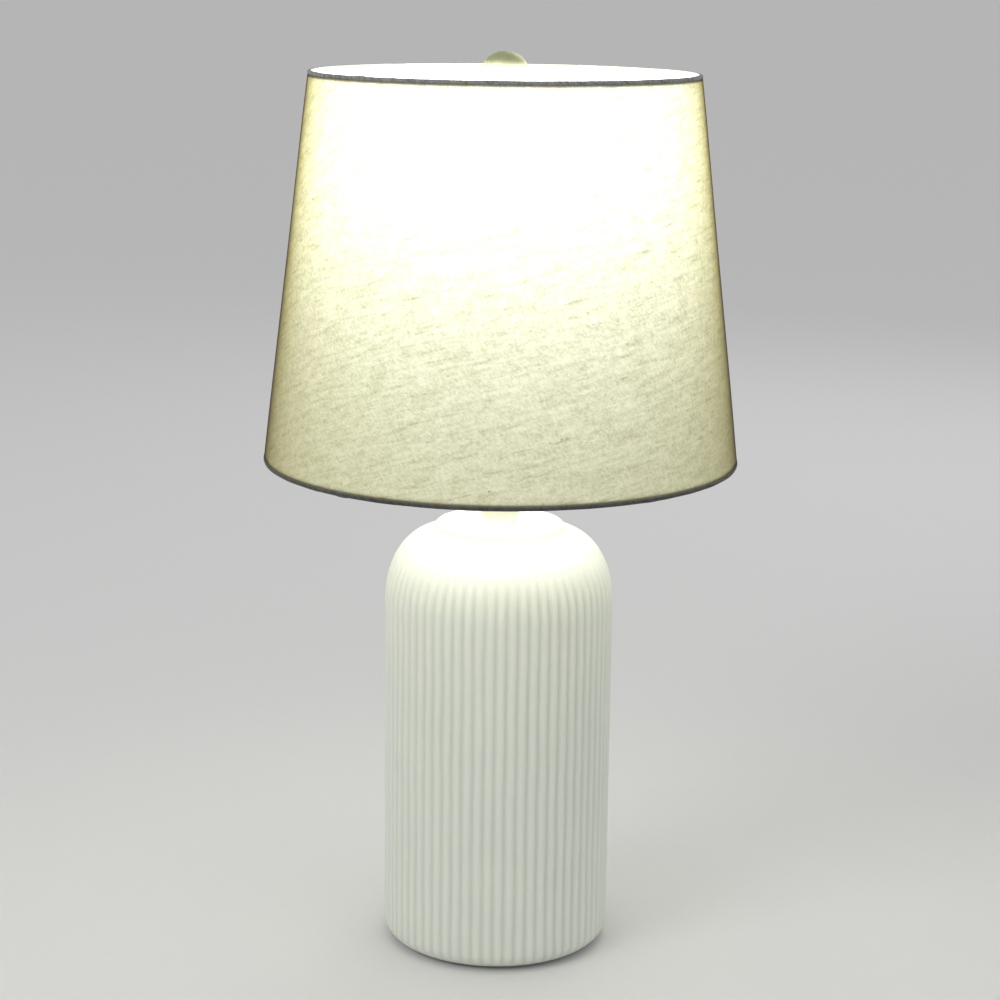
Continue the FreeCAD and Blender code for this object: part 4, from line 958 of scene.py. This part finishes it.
def thicken(piece, thickness):
    """Gives a sheet its thickness, inwards from the face that shows."""
    solid = piece.modifiers.new("thickness", "SOLIDIFY")
    solid.thickness = thickness
    solid.offset = -1.0
    solid.use_even_offset = True
    solid.use_rim = True


def hem_tree():
    """A rolled tape along a ring, uneven in thickness, with a few small lumps and a lapped end."""
    inputs = [("Geometry", GEOMETRY), ("Ring Radius", FLOAT), ("Roll Radius", FLOAT), ("Level", FLOAT),
              ("Steps", INTEGER), ("Sides", INTEGER), ("Unevenness", FLOAT), ("Seed", FLOAT),
              ("Lap Azimuth", FLOAT), ("Lap Length", FLOAT), ("Lap Rise", FLOAT), ("Material", MATERIAL)]
    tree, entry, leave = new_group("rolled_hem", inputs, [("Geometry", GEOMETRY)], "GeometryNodeTree")

    def ring_of(steps, radius):
        feeds = {"Resolution": entry[steps], "Radius": entry[radius]}
        return add(tree, "GeometryNodeCurvePrimitiveCircle", feeds).outputs[0]

    def moved(geometry, offset):
        return add(tree, "GeometryNodeSetPosition", {"Geometry": geometry, "Offset": offset}).outputs[0]

    ring = moved(ring_of("Steps", "Ring Radius"), joined(tree, 0.0, 0.0, entry["Level"]))
    feeds = {"Curve": ring, "Profile Curve": ring_of("Sides", "Roll Radius")}
    roll = add(tree, "GeometryNodeCurveToMesh", feeds).outputs[0]
    wave = swing(tree, seeded_cloud(tree, entry["Seed"], 42.0, 3.0), 0.58, 2.2)
    lump = seeded_cloud(tree, maths(tree, "ADD", entry["Seed"], 9.0), 75.0, 0.0)
    lump = maths(tree, "MAXIMUM", maths(tree, "SUBTRACT", lump, 0.70), 0.0)
    lump = times(tree, lump, 7.0)
    x, y, _ = parted(tree, add(tree, "GeometryNodeInputPosition").outputs[0])
    gone = maths(tree, "SUBTRACT", maths(tree, "ARCTAN2", y, x), entry["Lap Azimuth"])
    gone = times(tree, gone, entry["Ring Radius"])
    starts = spread(tree, gone, 0.0, HEM_LAP_EDGE)
    ends = spread(tree, maths(tree, "DIVIDE", gone, entry["Lap Length"]), 0.6, 1.0, 1.0, 0.0)
    amount = times(tree, maths(tree, "ADD", wave, lump), entry["Unevenness"])
    amount = maths(tree, "ADD", amount, times(tree, starts, ends, entry["Lap Rise"]))
    normal = add(tree, "GeometryNodeInputNormal").outputs[0]
    finish_tree(tree, moved(roll, scaled(tree, normal, amount)), entry, leave)
    return tree


def rolled_hem(name, tree, material, ring_radius, level, lap, seed):
    holder = mesh_object(name + "_holder", [(0, 0, 0)], [])
    shape_by(holder, tree, ring_radius=ring_radius, roll_radius=HEM_RADIUS, level=level, steps=HEM_STEPS,
             sides=HEM_SIDES, unevenness=HEM_UNEVENNESS, seed=seed, lap_azimuth=lap,
             lap_length=HEM_LAP_LENGTH, lap_rise=HEM_LAP_RISE, material=material)
    piece = finished(holder, name, material)
    face_outwards(piece.data)
    uv_on_roll(piece.data, ring_radius, level)
    light_from_lamp(piece.data)
    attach(piece, "shade")
    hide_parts("shade_" + name)
    return piece


def uv_on_roll(mesh, ring_radius, level):
    """Flat tape coordinates: along the ring, and round the roll with the grain on the skew."""
    cosine, sine = HEM_SKEW
    values = []
    for face in mesh.polygons:
        first = None
        for index in face.vertices:
            x, y, z = mesh.vertices[index].co
            turn = math.atan2(y, x)
            tilt = math.atan2(z - level, math.hypot(x, y) - ring_radius)
            first = first or (turn, tilt)
            along = (turn + TURN * round((first[0] - turn) / TURN)) * ring_radius
            around = (tilt + TURN * round((first[1] - tilt) / TURN)) * HEM_RADIUS
            values.append((along * cosine - around * sine, along * sine + around * cosine))
    write_uv(mesh, values)


def light_from_lamp(mesh):
    """Stores how strongly the bulb lights each point: only faces turned to it, less with distance."""
    lamp = Vector((0, 0, GLOW_LEVEL))
    values = []
    for vertex in mesh.vertices:
        way = lamp - vertex.co
        facing = max(0.0, vertex.normal.dot(way.normalized()))
        values.append(HEM_GLOW * facing / way.length_squared)
    point_values(mesh, "lamplight", values)


def make_shade():
    cone = cone_values()
    tape = hem_linen()
    tree = hem_tree()
    top = rolled_hem("top_hem", tree, tape, cone["high_ring"], cone["high_z"], HEM_LAP_TOP, HEM_SEED_TOP)
    bottom = rolled_hem("bottom_hem", tree, tape, cone["low_ring"], cone["low_z"], HEM_LAP_BOTTOM,
                        HEM_SEED_BOTTOM)
    cover, flat_size, area = linen_cover(slubby_linen(), cone)
    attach(cover, "shade")
    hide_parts("shade_fabric")


# ================ felt
def felt_pad(material):
    """A punched felt disc with a soft, slightly ragged edge."""
    low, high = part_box("felt_pad")
    radius = (high[0] - low[0]) / 2
    top = high[2]
    sides = FELT_SIDES
    points = [point for share in FELT_RINGS for point in circle(radius * share, sides, top)]
    centre = len(points)
    points.append((0, 0, top))
    faces = []
    for base in range(0, centre - sides, sides):
        faces += [(base + s, base + sides + s, base + sides + (s + 1) % sides, base + (s + 1) % sides)
                  for s in range(sides)]
    faces += [(centre, s, (s + 1) % sides) for s in range(sides)]
    piece = mesh_object("felt_disc", points, faces)
    for vertex in piece.data.vertices[centre - sides:centre]:
        ragged = FELT_RAGGED * noise.noise(Vector(vertex.co) * 400)
        vertex.co = vertex.co * (1 + ragged / radius)
        vertex.co.z = top
    thicken(piece, top - low[2])
    piece.data.materials.append(material)
    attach(piece, "lamp_base")
    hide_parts("felt_pad")


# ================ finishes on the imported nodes
def dress(material, *names):
    for name in names:
        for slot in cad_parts[name].material_slots:
            slot.material = material


def dress_nodes():
    dress(lit_neck(), "brass_neck")
    dress(lit_finial(), "finial_ball")
    dress(turned_metal("yellow_brass", (0.80, 0.62, 0.28), (0.42, 0.28, 0.11), 0.28),
          "socket_cap", "socket_shell", "centre_contact", "finial_insert", "harp_stud",
          "harp_ferrule_left", "harp_ferrule_right", "harp_loop", "harp_saddle", "terminal_screws")
    dress(turned_metal("zinc_steel", (0.60, 0.61, 0.62), (0.40, 0.41, 0.41), 0.34, rings=900.0),
          "base_plate", "base_lock_washer", "base_hex_nut", "lamp_rod", "saddle_lock_nut",
          "socket_set_screw")
    dress(turned_metal("shaft_steel", (0.55, 0.55, 0.55), (0.30, 0.30, 0.30), 0.25), "switch_shaft")
    dress(turned_metal("screw_aluminium", (0.78, 0.78, 0.77), (0.55, 0.55, 0.54), 0.30),
          "screw_shell", "bulb_cap")
    dress(turned_metal("solder", (0.50, 0.50, 0.50), (0.34, 0.34, 0.35), 0.45, rings=300.0, tarnish=0.5),
          "bulb_contact")
    dress(moulded_plastic("black_phenolic", (0.022, 0.020, 0.018), 0.38, Coat_Weight=0.2,
                          Coat_Roughness=0.25),
          "socket_core", "switch_knob", "switch_rotor", "bulb_insulator")
    # Painted light: the neck washer glows as if lit by the bulb.
    dress(moulded_plastic("white_rubber", (0.70, 0.70, 0.66), 0.75, grain=900.0, depth=0.05,
                          Emission_Color=(1.0, 1.0, 0.94, 1), Emission_Strength=0.45),
          "neck_washer")
    dress(moulded_plastic("white_bushing", (0.74, 0.74, 0.71), 0.5), "cord_bushing")
    dress(moulded_plastic("bulb_white", (0.80, 0.80, 0.78), 0.4), "bulb_housing")
    dress(moulded_plastic("white_frame_wire", (0.72, 0.72, 0.69), 0.4, grain=420.0, depth=0.06,
                          Coat_Weight=0.3, Coat_Roughness=0.3),
          "shade_top_ring", "shade_bottom_ring", "spider_hub", "spider_arms")
    dress(vulcanised_fibre(), "socket_sleeve")
    dress(led_board(), "bulb_led_board")
    dress(frosted_globe(), "bulb_globe")
    dress(white_lining(), "shade_lining")


# ================ camera, stage and lights
def make_camera():
    forward = Vector((0, math.cos(CAMERA_DIP), -math.sin(CAMERA_DIP)))
    up = Vector((0, math.sin(CAMERA_DIP), math.cos(CAMERA_DIP)))
    right = Vector((1, 0, 0))
    side = math.cos(CAMERA_ROLL) * right + math.sin(CAMERA_ROLL) * up
    top = math.cos(CAMERA_ROLL) * up - math.sin(CAMERA_ROLL) * right
    data = bpy.data.cameras.new("camera")
    data.lens = CAMERA_LENS
    data.sensor_width = CAMERA_SENSOR
    data.clip_end = CAMERA_REACH
    camera = put_in_scene("camera", data)
    turn = Matrix((side, top, -forward)).transposed()
    camera.matrix_world = Matrix.Translation((0, -CAMERA_BACK, CAMERA_HEIGHT)) @ turn.to_4x4()
    bpy.context.scene.camera = camera


def make_floor():
    points = [(0, 0, FLOOR_LEVEL)] + circle(FLOOR_RADIUS, FLOOR_SIDES, FLOOR_LEVEL)
    faces = [(0, side + 1, (side + 1) % FLOOR_SIDES + 1) for side in range(FLOOR_SIDES)]
    floor = mesh_object("floor", points, faces, smooth=False)
    floor.data.materials.append(stage_floor())


def soft_lamp(name, place, width, height, watts):
    data = bpy.data.lights.new(name, "AREA")
    data.shape = "RECTANGLE"
    data.size = width
    data.size_y = height
    data.energy = watts
    lamp = put_in_scene(name, data)
    lamp.location = place
    lamp.rotation_euler = (Vector(LAMP_TARGET) - Vector(place)).to_track_quat("-Z", "Y").to_euler()


def studio_world():
    """Even light all round, with the far floor's own tone wherever the world itself is seen."""
    world = bpy.data.worlds.new("studio")
    world.use_nodes = True
    tree = world.node_tree
    rays = add(tree, "ShaderNodeLightPath").outputs
    seen = maths(tree, "ADD", rays["Is Camera Ray"], rays["Is Glossy Ray"], clamp=True)
    seen = maths(tree, "ADD", seen, rays["Is Transmission Ray"], clamp=True)
    backing = tree.nodes["Background"]
    tree.links.new(mingle(tree, seen, WORLD_TONE, BACKDROP_TONE), backing.inputs["Color"])
    backing.inputs["Strength"].default_value = 1.0
    return world


def make_lights():
    for name, values in SOFT_LAMPS.items():
        soft_lamp(name, *values)
    bpy.context.scene.world = studio_world()
    bpy.context.scene.view_settings.view_transform = "Standard"


make_camera()
ribbed_body(glazed_ceramic())
make_shade()
felt_pad(pressed_felt())
dress_nodes()
make_floor()
make_lights()
